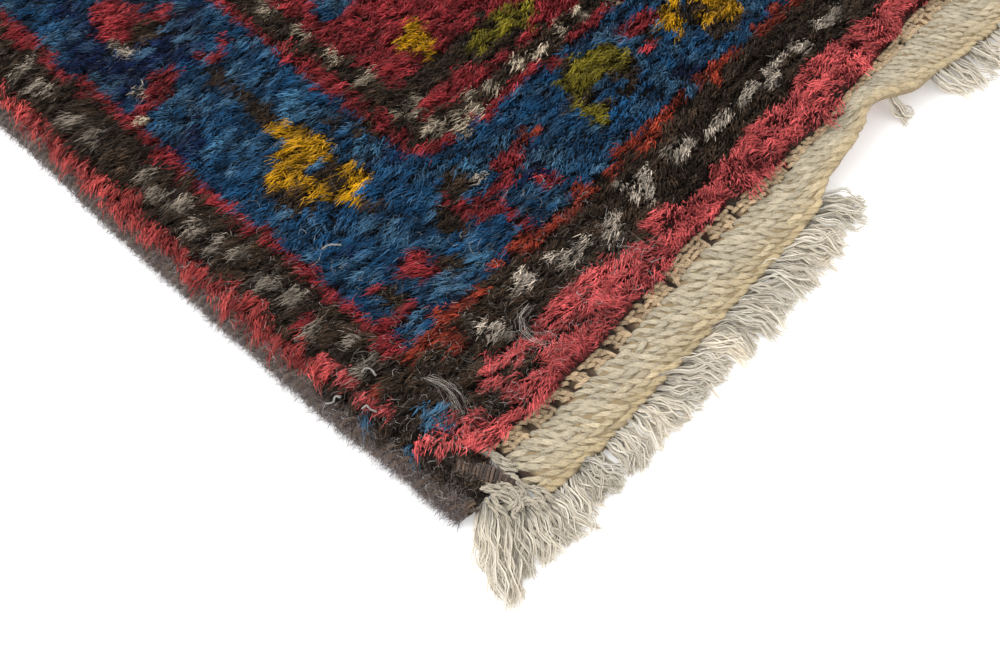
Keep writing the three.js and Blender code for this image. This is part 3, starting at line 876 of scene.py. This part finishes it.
# For each side: how far apart its turns are, and its hairs near the photographed corner and all along it
for side, spacing, close, rest in (("left", 1, 14500, 1500), ("right", 1.4, 0, 2000)):
    draw = np.random.default_rng(51)
    stops = np.linspace(0, PILE_LENGTH, 161)[:, None]
    core = loft_mesh(cord_places(side, stops, cord_across * 0.93, cord_up * 0.94))
    dye_points(core, cord_wool * 0.7)
    cord = add_piece(f"cord_{side}", core, brown_wool)
    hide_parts(f"selvedge_{side}")

    # The turns of the overcasting, each a length of wool laid from the pile's edge over the cord and under it
    turn_at = np.arange(1, PILE_LENGTH - 1, TURN_PITCH * spacing)[:, None]
    turn_at = turn_at + draw.normal(0, 0.25, turn_at.shape)
    paths = cord_places(side, turn_at + np.linspace(-TURN_HALF, TURN_HALF, 6), *round_cord)
    paths = paths + draw.normal(0, 0.3, paths.shape)
    tones = np.exp(draw.normal(-0.3, 0.25, (len(turn_at), 1, 1)))
    turns = tube_mesh(paths, draw.uniform(0.6, 1.1, paths.shape[:2]), cord_wool * tones)
    add_piece(f"overcast_{side}", turns, brown_wool)

    # Fuzz: fine hairs that stand off the wool, many more where the photograph looks closely
    hair_at = [HAIRY_REACH * draw.uniform(0, 1, close) ** 1.3, draw.uniform(0, PILE_LENGTH, rest)]
    hair_at = np.concatenate(hair_at)[:, None]
    spot = draw.uniform(0.5, 5.7, hair_at.shape)
    section = (np.interp(spot, np.arange(len(cord_up)), shares) for shares in (cord_across, cord_up))
    root = cord_places(side, hair_at, *section)
    off = unit(root - cord_places(side, hair_at, 0.45, 0.4))
    drift = draw.normal(0, 1, root.shape)
    drift = drift - off * (drift * off).sum(-1, keepdims=True)
    bend = draw.normal(0, 0.5, root.shape)
    share = np.linspace(0, 1, 3)[:, None]
    low = np.clip(1.4 - root[..., 2:] / 3, 0, 1) * (side == "left")
    reach = np.clip(draw.gamma(3, 0.42, low.shape), 0, 2.4) * (1 + 0.4 * low)
    aim = off * (0.35 + 0.9 * low) + drift * (1 - 0.6 * low)
    paths = root + (aim * share + bend * share**2) * reach
    paths[..., 2] = np.clip(paths[..., 2], 0.15, None)
    # Painted shade and light: each hair is darker at its root in the fuzz and lighter towards its tip
    tones = np.exp(draw.normal(0, 0.5, low.shape)) * (0.65 + 1.05 * share)
    greyed = np.maximum(low * draw.uniform(0.5, 1, low.shape), 0.65 * draw.uniform(0, 1, low.shape) ** 2)
    colours = mixed(cord_wool * tones, linear(206, 203, 212), greyed * (0.5 + 0.5 * share))
    add_piece(f"fuzz_{side}", fibre_mesh(paths, HAIR_WIDE, colours), brown_wool)


# End bands
# Undyed cotton. Beside the pile the warps cross a narrow strip of plain weave, loose enough that dark wool
# shows between them. Beyond it thick cotton is twined across them in slanting grains.
STRIP_SHARE, STRIP_UP = 0.21, 2.3
TWINED_ROWS, TWINED_UP = 6, 3.15
GRAIN_PITCH, GRAIN_HALF, GRAIN_RADIUS = 3.9, 3.5, 1.18
WARP_PITCH, WARP_RADIUS = 5.2, 0.78
PICK_PITCH, PICK_HALF, PICK_RADIUS = 2.3, 1.2, 0.82
BAND_FROM, BAND_TO = 22.8, 537
HOLE_HALF, WARP_OFF_HOLE = 1.9, 2.2
strip_holes = np.array([25, 38, 50, 58, 66, 78, 88, 111, 134, 149, 176, 203, 222, 251])


def end_place(end, at, share, up):
    """Places on an end band: how far across the rug, the share of the band's width, and how high."""
    at, share, up = np.broadcast_arrays(at, share, up)
    x, _ = ground_plan(at, np.full_like(at, PILE_LENGTH if end is far_end else 0))
    inner, outer = eased(end, "pile", at) + CLEARANCE, eased(end, "band", at)
    out = PILE_LENGTH / 2 + inner + (outer - inner) * share
    return np.stack([x, out if end is far_end else -out, up + eased(end, "lift", at)], -1)


cotton = Finish("cotton_yarn", Roughness=0.85, Sheen_Weight=0.15)
lay = cotton.node("UVMap", {"uv_map": "lay"}, {}, "UV")
plies = ((cotton.part(lay, "X") * 3 + cotton.part(lay, "Y") * 0.2) * (2 * math.pi)).sine()
lint = cotton.noise(1400)
uneven = cotton.blend(lint, grey(0.72), grey(1.16))
cotton.surface(
    Base_Color=cotton.blend(1.0, cotton.stored("yarn"), uneven, "MULTIPLY"),
    Normal=cotton.bump(plies * 0.8 + lint * 1.5, 0.0004),
)
band_base = Finish("band_base", Roughness=0.95)
band_base.surface(
    Base_Color=band_base.blend(
        band_base.noise(700) * 0.4, band_base.stored("yarn"), (*linear(84, 64, 48), 1)
    )
)
twined_cotton, edge_cotton, strip_cotton = linear(200, 187, 160), linear(202, 174, 122), linear(214, 186, 148)
hole_wool, strip_shade, crevice_shade = linear(50, 38, 30), linear(212, 180, 142), linear(164, 144, 110)


def in_rows(columns, rows):
    """Each place in a row paired with each row's number, as two columns of numbers."""
    return (grid.reshape(-1, 1) for grid in np.meshgrid(columns, np.arange(rows), indexing="ij"))


def strip_yarns(name, end, at, out, rise, radius, tones):
    """Short yarns that arch over the plain strip."""
    paths = end_place(end, at, out, STRIP_UP + rise * np.sin(np.pi * np.linspace(0, 1, at.shape[1])))
    add_piece(name, tube_mesh(paths, radius, strip_cotton * tones), cotton)


# The section of the cloth below the yarns, from the pile outward. The near end's strip is dark at its holes.
base_share = np.array([0, 0, STRIP_SHARE, STRIP_SHARE + 0.04, 0.97, 1, 1])
base_up = np.array([0, 2.3, 2.3, 3.6, 3.7, 2.8, 0])
for name, end, first, sides, coarse in (("near", near_end, BAND_FROM, 8, 1), ("far", far_end, 3.0, 6, 1.3)):
    near = end is near_end
    draw = np.random.default_rng(61)
    stops = np.linspace(first + near, BAND_TO, 258)[:, None]
    slab = loft_mesh(end_place(end, stops, base_share, base_up))
    hole_gap = np.abs(stops - strip_holes).min(1)[:, None, None]
    open_share = np.clip(HOLE_HALF + 0.6 - hole_gap, 0, 1) if near else 0.4
    # Painted shade: the cloth under the twined grains is a darker tan, for the shade between them
    base_tone = np.tile(crevice_shade, (len(stops), len(base_share), 1))
    base_tone[:, :3] = mixed(strip_shade, hole_wool, open_share)
    base_tone[:2] = hole_wool
    dye_points(slab, base_tone)
    base = add_piece(f"band_base_{name}", slab, band_base)
    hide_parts(f"end_band_{name}")

    # The twined grains: fat in the middle, each end tucked under the next
    mid, row = in_rows(np.arange(first + 1, BAND_TO - 2, GRAIN_PITCH * coarse), TWINED_ROWS)
    sway = np.linspace(-1, 1, sides - 1)
    arch = np.sin(np.pi * np.linspace(0, 1, sides - 1))
    mid = mid + 1.9 * row % GRAIN_PITCH + draw.normal(0, 0.45, mid.shape)
    half = GRAIN_HALF * coarse * (1 + draw.normal(0, 0.1, mid.shape))
    at = np.clip(mid + sway * half, first, BAND_TO)
    slant = (0.125 - 0.011 * row) * (1 + draw.normal(0, 0.35, mid.shape)) * sway
    band_share = STRIP_SHARE + 0.02 + (0.99 - STRIP_SHARE) * (row + 0.5) / TWINED_ROWS + slant
    band_share = np.clip(band_share + draw.normal(0, 0.012, mid.shape), STRIP_SHARE, 0.97)
    paths = end_place(end, at, band_share, TWINED_UP + 0.45 * arch + draw.normal(0, 0.14, mid.shape))
    paths[..., :2] += draw.normal(0, 0.12, paths[..., :2].shape)
    radii = (GRAIN_RADIUS + draw.normal(0, 0.12, mid.shape)) * (0.62 + 0.38 * arch**0.6)
    # Painted shade: each grain is darker towards its ends, where it tucks under the next
    tones = np.exp(draw.normal(0, 0.1, (*mid.shape, 1))) * (0.78 + 0.24 * arch[:, None])
    colours = mixed(twined_cotton, edge_cotton, 0.2 * np.clip(row - 2, 0, 3)[..., None]) * tones
    add_piece(f"twining_{name}", tube_mesh(paths, radii, colours, sides, 0.8), cotton)

    # The strip of plain weave: warps that cross it, clear of the holes
    warp_at = np.arange(first + 1.2, BAND_TO - 1, WARP_PITCH)[:, None]
    warp_at = warp_at + draw.normal(0, 0.5, warp_at.shape)
    if near:
        aside = warp_at - strip_holes
        nearest = np.take_along_axis(aside, np.abs(aside).argmin(1)[:, None], 1)
        warp_at = warp_at + np.sign(nearest) * np.clip(WARP_OFF_HOLE - np.abs(nearest), 0, None)
    at = np.clip(warp_at + draw.normal(0.6, 0.7, warp_at.shape) * np.linspace(-1, 1, 6), first, BAND_TO)
    tones = np.exp(draw.normal(0, 0.12, (len(at), 1, 1)))
    strip_yarns(f"warps_{name}", end, at, np.linspace(-0.06, 0.28, 6), 0.9, WARP_RADIUS, tones)

    # Then three rows of picks of weft that go over and under them, the outer two also clear of the holes
    mid, row = in_rows(np.arange(first + 3, BAND_TO - 3, PICK_PITCH), 3)
    keep = (draw.uniform(0, 1, mid.shape) < (0.85 if near else 0.35))[:, 0]
    mid = mid + 1.1 * row
    if near:
        keep &= np.abs(mid - strip_holes).min(1) > np.array((0, 2.1, 1.5))[row[:, 0]]
    mid, row = mid[keep], row[keep]
    sway = np.linspace(-1, 1, 5)
    at = mid + PICK_HALF * sway + draw.normal(0, 0.3, mid.shape)
    out = -0.02 + 0.085 * row + draw.normal(0.03, 0.02, mid.shape) * sway
    tones = np.exp(draw.normal(0.05, 0.16, (len(mid), 1, 1)))
    strip_yarns(f"picks_{name}", end, at, out, 1.1, PICK_RADIUS, tones)


# Fringes
# The warps' cut ends, left in loose bundles beyond the twining. They have come untwisted into fine pale
# fibres that fan out, curl and lie across each other.
BUNDLE_PITCH, BUNDLE_WIDE = 6.6, 7.0
FIBRE_WIDE = 0.44
fringe_yarn = Finish("fringe_yarn", Roughness=0.8, Sheen_Weight=0.3)
soft = fringe_yarn.blend(fringe_yarn.noise(1200, 2), grey(0.85), grey(1.1))
fringe_yarn.surface(Base_Color=fringe_yarn.blend(1.0, fringe_yarn.stored("yarn"), soft, "MULTIPLY"))


def bundle_paths(draw, root, lean, curl, width, loose, strands, per_strand, steps):
    """The fibres of many bundles: each one's root, where its tip lies from there, and its sideways curl."""
    share = np.linspace(0, 1, steps)[:, None]
    fan = np.interp(share, (0, 0.35, 0.8, 1), (0.9, 1.1, 1.15, 0.95))
    count = len(root)
    root, lean = root[:, None, None, None], lean[:, None, None, None]
    curl, width, loose = (values.reshape(-1, 1, 1, 1, 1) for values in (curl, width, loose))
    lock, each, hair = (count, 1, 1, 1, 1), (count, strands, 1, 1, 1), (count, strands, per_strand, 1, 1)
    spread = draw.uniform(-1, 1, each) * width / 2
    bow = curl + loose * draw.normal(0, 1.8, lock) + (0.5 + 0.5 * loose) * draw.normal(0, 1.2, each)
    hook = loose * draw.normal(0, 2.0, lock) + (0.35 + 0.65 * loose) * draw.normal(0, 2.4, each)
    wave = draw.uniform(0, 2 * np.pi, each) + share * draw.uniform(7, 14, each)
    sway = 1.3 * np.sin(wave) * share**0.7 + bow * np.sin(np.pi * share * 0.85) + hook * share**2.5
    sway = sway + draw.standard_t(3, each).clip(-4, 4) * 0.6 * share * (0.3 + 0.7 * loose)
    sway = sway + draw.normal(0, 0.6, hair) * share
    length = draw.uniform(0.88, 1.05, each) * draw.uniform(0.93, 1.03, hair)
    aside = np.cross(UPRIGHT, unit(lean)) * ((spread + draw.normal(0, 0.26, hair)) * fan + sway)
    paths = root + lean * share * length + aside
    loft = draw.uniform(0, 1, each[:-1]) + draw.normal(0, 0.1, hair[:-1])
    crown = np.interp(share[:, 0], (0, 0.3, 0.75, 1), (3.0, 4.8, 4.2, 2.2))
    drop = np.interp(share[:, 0], (0, 0.4, 0.75), (1, 0.15, 0))
    paths[..., 2] = np.clip(0.25 + crown * loft + root[..., 2] * drop, 0.2, None)
    return paths.reshape(-1, steps, 3)


def fringe_piece(name, end, first, last, lean_of, strands, per_strand, steps, extra=()):
    """A stretch of fringe between two places across the rug, and any bundles listed one by one."""
    draw = np.random.default_rng(73)
    at = np.arange(first + BUNDLE_PITCH / 2, last, BUNDLE_PITCH)
    at = at + draw.normal(0, 0.5, len(at))
    root = end_place(end, at, 0.93, 0)
    lean_x, curl = lean_of(at)
    reach = eased(end, "tips", at) - eased(end, "band", at) + draw.normal(-0.6, 0.8, len(at))
    lean = np.stack([lean_x + draw.normal(0, 1.4, len(at)), reach if end is far_end else -reach, 0 * at], -1)
    width = BUNDLE_WIDE + draw.normal(0, 0.6, len(at))
    curl = curl + draw.normal(0, 0.5, len(at))
    loose = np.ones(len(at))
    for root_at, root_out, tip_at, tip_out, wide, bow in extra:
        height = 1.5 + 0.8 * eased(end, "lift", root_at)
        root = np.concatenate([root, [(root_at - RUG_WIDTH / 2, -PILE_LENGTH / 2 - root_out, height)]])
        lean = np.concatenate([lean, [(tip_at - root_at, root_out - tip_out, 0)]])
        width, curl, loose = np.append(width, wide), np.append(curl, bow), np.append(loose, 0.2)
    paths = bundle_paths(draw, root, lean, curl, width, loose, strands, per_strand, steps)
    tone = draw.normal(0, 0.09, len(paths)) + np.repeat(draw.normal(0, 0.08, len(root)), strands * per_strand)
    # Painted shadow: the fibres are darker towards their roots, under the band's outer edge
    shade = np.interp(np.linspace(0, 1, steps), (0, 0.15, 0.35), (0.4, 0.7, 1))[:, None]
    warmth = draw.uniform(0, 0.35, (len(paths), 1, 1))
    colours = mixed(linear(227, 220, 206), linear(198, 178, 141), warmth)
    colours = colours * np.exp(tone)[:, None, None] * shade
    return add_piece(name, fibre_mesh(paths, FIBRE_WIDE, colours, 0.7), fringe_yarn)


def near_lean(at):
    """How far each bundle's tip lies to the side, and how it curls, as read along the near end."""
    stops = (22, 40, 55, 75, 95, 130, 165, 250, 300, 360, 430, 540)
    aside = np.interp(at, stops, (-6, -4, 3, 6, 10, 11, 11, 6, -4, 5, -5, 3))
    curl = np.interp(at, stops, (-1, -0.5, 1, 1, 2.5, 2, 1.5, 1, -1, 1, -1, 0))
    return aside, curl


def far_lean(at):
    """The same for the far end, which is out of the photograph."""
    return 5 * np.sin(at / 37), 1.2 * np.sin(at / 23 + 1)


# The long tuft at the bare corner: root, tip, width and bow of each bundle
corner_tuft = (
    (13, 14, -1, 30, 3.4, -1.4),
    (14, 16, -3.5, 37.5, 3.6, -1.2),
    (15, 19, -4, 42, 3.8, -0.8),
    (17, 22, 4, 38, 4.5, 0),
    (19, 24, 12, 40, 5, 0.5),
    (23, 27, 20, 40.5, 4.5, 0.5),
    (43, 27, 47, 40, 6, 0.5),
)
ruck_tuft = ((229, 13, 231, 24, 4, 0.5),)
fringe_left = fringe_piece("fringe_left", near_end, 22, 176, near_lean, 19, 6, 9, corner_tuft)
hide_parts("fringe_near_left")
fringe_piece("ruck_tuft", near_end, 230, 230, near_lean, 12, 6, 7, ruck_tuft)
fringe_right = fringe_piece("fringe_right", near_end, 244, BAND_TO, near_lean, 9, 5, 5)
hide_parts("fringe_near_right")
fringe_back = fringe_piece("fringe_back", far_end, 3, BAND_TO, far_lean, 8, 4, 5)
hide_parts("fringe_far")


# Worn corner
# At the near left corner the overcasting has come off the pile's edge. It curves in round the bare warps.
# The side cord's cut end shows beside it, and loose plied cotton yarns are knotted over the long tuft's root.
CORNER = np.array([RUG_WIDTH / 2, PILE_LENGTH / 2, 0])
BARE_TURNS = 30
WISPS, LOCK_HAIRS, STRAYS = 600, 20, 1500
WISP_WIDE, STRAY_WIDE = 0.13, 0.075


def corner_path(stops, count):
    """A smooth path in millimetres through a few places given from the corner: across, in, and up."""
    stops = np.array(stops, float) - CORNER
    at = np.linspace(0, len(stops) - 1, count)
    row = np.clip(at.astype(int), 0, len(stops) - 2)
    share = (at - row)[:, None]
    padded = np.concatenate([2 * stops[:1] - stops[1:2], stops, 2 * stops[-1:] - stops[-2:-1]])
    a, b, c, d = (padded[row + k] for k in range(4))
    return b + share / 2 * (c - a + share * (2 * a - 5 * b + 4 * c - d + share * (3 * (b - c) + d - a)))


# The bare cord and its turns. It swells and thins four times along its run.
draw = np.random.default_rng(81)
bare_line = ((13.5, 8, 3), (15.5, 3, 3.6), (17.5, -2, 3.4), (20, -8, 3.2), (22.5, -14, 2.6), (23, -17, 1.8))
axis = corner_path(bare_line, BARE_TURNS)
run = unit(np.gradient(axis, axis=0))
aside = np.cross(UPRIGHT, run)
swell = 2.4 + 0.9 * np.abs(np.sin(np.linspace(0.3, 4 * math.pi - 0.6, BARE_TURNS)))[:, None, None]


def hoops(turn, size):
    """Points round the bare cord at some angles, at a share of its own thickness."""
    ring = aside[:, None] * np.cos(turn)[:, None] + UPRIGHT * np.sin(turn)[:, None]
    return axis[:, None] + ring * swell * size


bare_core = loft_mesh(hoops(np.arange(8) * math.pi / 4, 0.86))
dye_points(bare_core, cord_wool * 0.35)
paths = hoops(np.linspace(-0.4, math.pi + 0.4, 9), 1) + run[:, None] * np.linspace(-0.7, 0.7, 9)[:, None]
paths = paths + draw.normal(0, 0.1, (BARE_TURNS, 1, 3))
tones = np.exp(draw.normal(0, 0.6, (BARE_TURNS, 1, 1)))
bare_turns = tube_mesh(paths, 0.5, linear(92, 72, 60) * tones)

# The side cord's cut end: rings of yarn round a near-black core, painted shade for the hollow inside it. Each
# ring's size, how far in it lies, its yarn's radius, and its wool
CUT_AT = np.array([8.4, -12, 3.4])
cut_rings = (
    (2.3, 0.2, 0.42, (124, 96, 68)),
    (2.6, -0.5, 0.5, (84, 64, 50)),
    (2.2, -1.2, 0.45, (110, 86, 62)),
    (2.6, -2, 0.5, (60, 46, 38)),
)
angle = np.linspace(0.4, 2 * math.pi * 0.97, 14)
rings, radii, colours = [], [], []
for size, deep, radius, wool in cut_rings:
    ring = np.stack([size * np.cos(angle), 0.3 * np.sin(angle) - deep, size * np.sin(angle)], -1)
    rings.append(CUT_AT + ring - CORNER + draw.normal(0, 0.14, ring.shape))
    radii.append([radius])
    colours.append([linear(*wool)])
# Painted shade: a near-black core stands in the hollow
rings.append(corner_path((CUT_AT + [0, 5, 0], CUT_AT + [0, 0.8, 0]), 14))
radii.append([2.2])
colours.append([linear(14, 11, 10)])
cut_end = tube_mesh(np.array(rings), radii, np.array(colours), 8)

# Loose brown and tan hairs over the bare corner
root = axis[draw.integers(0, BARE_TURNS - 6, WISPS)] + [-0.6, 0.6, 2]
root = root + draw.normal(0, 1, (WISPS, 3)) * [3, 3, 0.4]
reach = draw.normal(0, 1, (WISPS, 3)) * [2, 2, 0.5]
bend = draw.normal(0, 1, (WISPS, 1, 3)) * [0.8, 0.8, 0.4]
share = np.linspace(0, 1, 5)[:, None]
paths = root[:, None] + reach[:, None] * (share - 0.5) + bend * np.sin(share * math.pi * 1.4)
paths[..., 2] = np.clip(paths[..., 2], 0.3, None)
colours = np.where(draw.uniform(0, 1, (WISPS, 1, 1)) < 0.3, linear(188, 160, 128), linear(60, 46, 38))
wisps = fibre_mesh(paths, WISP_WIDE, colours)

# Two wisps of pale hairs that have come loose from the guard stripe and curl over to the edge stripe
low_wisp = corner_path(((29.5, 26, 10.8), (31, 19, 12), (29.5, 12.5, 12), (25.5, 7, 11)), 6)
high_wisp = corner_path(((71, 20.5, 11), (64, 18.5, 12.4), (61, 12.5, 12.6), (62.5, 7, 12.4), (67, 4, 12)), 6)
strand = np.repeat([low_wisp, high_wisp], LOCK_HAIRS, axis=0)
fan = draw.normal(0, 1, (len(strand), 1, 3)) * [1.3, 1.3, 0.3]
strand = strand + np.linspace(0.5, 1.5, 6)[:, None] * fan
strand = strand + np.cumsum(draw.normal(0, 0.5, strand.shape), axis=1) * [1, 1, 0.3]
colours = linear(172, 163, 154) * np.exp(draw.normal(0, 0.4, (len(strand), 1, 1)))
add_piece("loose_lock", fibre_mesh(strand, STRAY_WIDE, colours), fringe_yarn)
for name, mesh in (
    ("bare_cord", bare_core),
    ("bare_turns", bare_turns),
    ("cut_cord_end", cut_end),
    ("corner_wisps", wisps),
):
    add_piece(name, mesh, brown_wool)

# Pale stray hairs over the pile along the near end and the left side
stray_at, stray_along = draw.uniform(3, 120, STRAYS), np.abs(draw.normal(0, 26, STRAYS)) + 3
swapped = draw.uniform(0, 1, STRAYS) < 0.35
stray_at, stray_along = np.where(swapped, stray_along, stray_at), np.where(swapped, stray_at, stray_along)
stray_x, stray_y = ground_plan(stray_at, stray_along)
_, stray_full, _ = nap(stray_x, stray_y, stray_at, stray_along)
stray_up = GROUND_THICK + PILE_HIGH - 2.2 + 2.4 * stray_full + draw.uniform(0, 1, STRAYS)
root = np.stack([stray_x - 2.4, stray_y, stray_up], -1)[:, None]
turn = draw.uniform(0, 2 * math.pi, (STRAYS, 1, 1)) + share * draw.normal(0, 3.2, (STRAYS, 1, 1))
step = np.concatenate([np.cos(turn), np.sin(turn), 0 * turn], -1) * draw.gamma(4, 0.2, (STRAYS, 1, 1))
paths = root + np.cumsum(step, axis=1) * LEVEL + draw.normal(0, 0.12, (STRAYS, 5, 3))
colours = mixed(linear(104, 92, 82), linear(222, 218, 212), draw.uniform(0.1, 1, (STRAYS, 1, 1)) ** 3)
add_piece("stray_hairs", fibre_mesh(paths, STRAY_WIDE, colours), fringe_yarn)

# Plied cotton: each loose yarn of the corner, then the curls of lint caught in the pile
loose_yarns = (
    ((15.4, -10, 4.4), (16.2, -13, 5.6), (17.2, -17, 5.6), (17.3, -22, 4)),
    ((17, -10.5, 4.6), (18.4, -14, 6), (19, -18, 5.4), (17.6, -24, 4)),
    ((19.5, -12, 4.6), (21, -16.5, 5.6), (20, -21, 5), (16.5, -26, 3.6)),
    ((22.8, -10.5, 4.2), (24.6, -15, 5), (23.4, -19.5, 4.8), (20, -24, 4)),
    ((15.6, -20.5, 4.6), (18, -21.6, 6.2), (20.4, -20.8, 5.6), (21.6, -23.5, 4.4)),
    ((20.6, -19.6, 5), (18.4, -23.4, 6.2), (16, -22.8, 5.2), (14.6, -25.5, 3.8)),
    ((18.5, -21, 4.8), (21.8, -23.6, 5.8), (21.4, -28.6, 4.8), (16, -33.5, 3)),
    ((20.5, -22.5, 4.6), (24, -26, 5.4), (22.8, -31.6, 4.2), (17.5, -37, 2.4)),
    ((14, -13, 3.4), (12.8, -17, 4.6), (11, -22, 3.8), (6.5, -28, 3)),
    ((17, -13, 4.6), (14.5, -17, 5.4), (13.5, -22, 4.8), (10, -30, 3)),
    ((24.5, -18, 4.4), (25.5, -22.5, 5), (24.5, -27.5, 4.6), (21, -35, 3)),
    ((26, -21, 4.4), (27.4, -25, 4.8), (27, -31, 4), (24.5, -38, 2.4)),
    ((21, -14.5, 3.6), (22.6, -19, 4.4), (22.4, -24, 4.2), (19.5, -30, 3.4)),
    ((24.4, -1, 4), (25.3, -5, 4.9), (25, -9.5, 4.9), (25.8, -14.5, 4.4)),
    ((26.6, 0, 3.8), (26.3, -4, 4.6), (26.7, -8.5, 4.9), (27, -13, 4.4)),
    ((15.2, -14, 2.4), (16.6, -17, 3), (16.8, -20.5, 2.8), (14.5, -26, 2)),
    ((18, -14, 2.4), (18.1, -17.5, 3), (17.6, -21.5, 2.8), (17, -28, 2)),
)
lint_curls = (
    ((16.8, 42.6, 10.6), (18.4, 42.4, 11.4), (19.2, 40.6, 11.6), (19, 38.4, 10.6)),
    ((8, 33.5, 10), (9.6, 33, 10.8), (9.4, 31, 10.8), (10.6, 29.6, 9.8)),
    ((2, 43.4, 9), (3.6, 41.8, 9.8), (5.4, 42.6, 10), (6.6, 41.4, 9.6)),
    ((40.5, 85.6, 11), (42.6, 84.8, 11.8), (44.4, 83.2, 11.8), (46, 82.2, 11)),
)
for name, lines, size, steps, colour, slot in (
    ("corner_yarns", loose_yarns, 0.56, 20, linear(212, 200, 178), "cotton_fringe"),
    ("lint", lint_curls, 0.16, 12, linear(232, 226, 218), "wool_pile"),
):
    # Each yarn is three plies laid round each other, looser towards its end
    plied = []
    loose = size * np.interp(np.linspace(0, 1, steps), (0, 0.7, 1), (0.9, 1.1, 2.2))[:, None]
    for line in lines:
        middle = corner_path(line, steps)
        ahead = unit(np.gradient(middle, axis=0))
        across = np.cross(ahead, UPRIGHT)
        for ply in range(3):
            turn = (np.linspace(0, 9, steps) + ply * 2 * math.pi / 3)[:, None]
            plied.append(middle + (across * np.cos(turn) + np.cross(across, ahead) * np.sin(turn)) * loose)
    paths = np.array(plied) + draw.normal(0, size * 0.1, (len(plied), steps, 3))
    tones = np.exp(draw.normal(0, 0.06, (len(plied), 1, 1)))
    yarns = tube_mesh(paths, size * draw.uniform(0.8, 1.1, paths.shape[:2]), colour * tones)
    add_piece(name, yarns, cotton)


# Floor and light
# A plain pale floor, and a broad soft light from above, a little to the left and behind.
FLOOR_HALF = 30
floor_mesh = bpy.data.meshes.new("floor")
corners = [(x * FLOOR_HALF, y * FLOOR_HALF, 0) for x, y in ((-1, -1), (1, -1), (1, 1), (-1, 1))]
floor_mesh.from_pydata(corners, [], [(0, 1, 2, 3)])
floor = bpy.data.objects.new("floor", floor_mesh)
scene.collection.objects.link(floor)
pale_floor = Finish("pale_floor", Roughness=0.8, Emission_Strength=0.3)
paper = pale_floor.blend(pale_floor.noise(3), grey(0.9), grey(0.93))
pale_floor.surface(Base_Color=paper, Emission_Color=paper)
floor_mesh.materials.append(pale_floor.material)

world = bpy.data.worlds.new("studio")
world.use_nodes = True
background = world.node_tree.nodes["Background"]
background.inputs["Color"].default_value = grey(1)
background.inputs["Strength"].default_value = 1.06
scene.world = world

lamp = bpy.data.lights.new("key_light", "AREA")
lamp.size, lamp.energy = 1.8, 31
key_light = bpy.data.objects.new("key_light", lamp)
key_light.location = (-0.9, 0.9, 1.9)
near_left_part = Vector((-0.1, -0.25, 0))
key_light.rotation_euler = (near_left_part - key_light.location).to_track_quat("-Z", "Y").to_euler()
scene.collection.objects.link(key_light)
scene.view_settings.view_transform = "Standard"
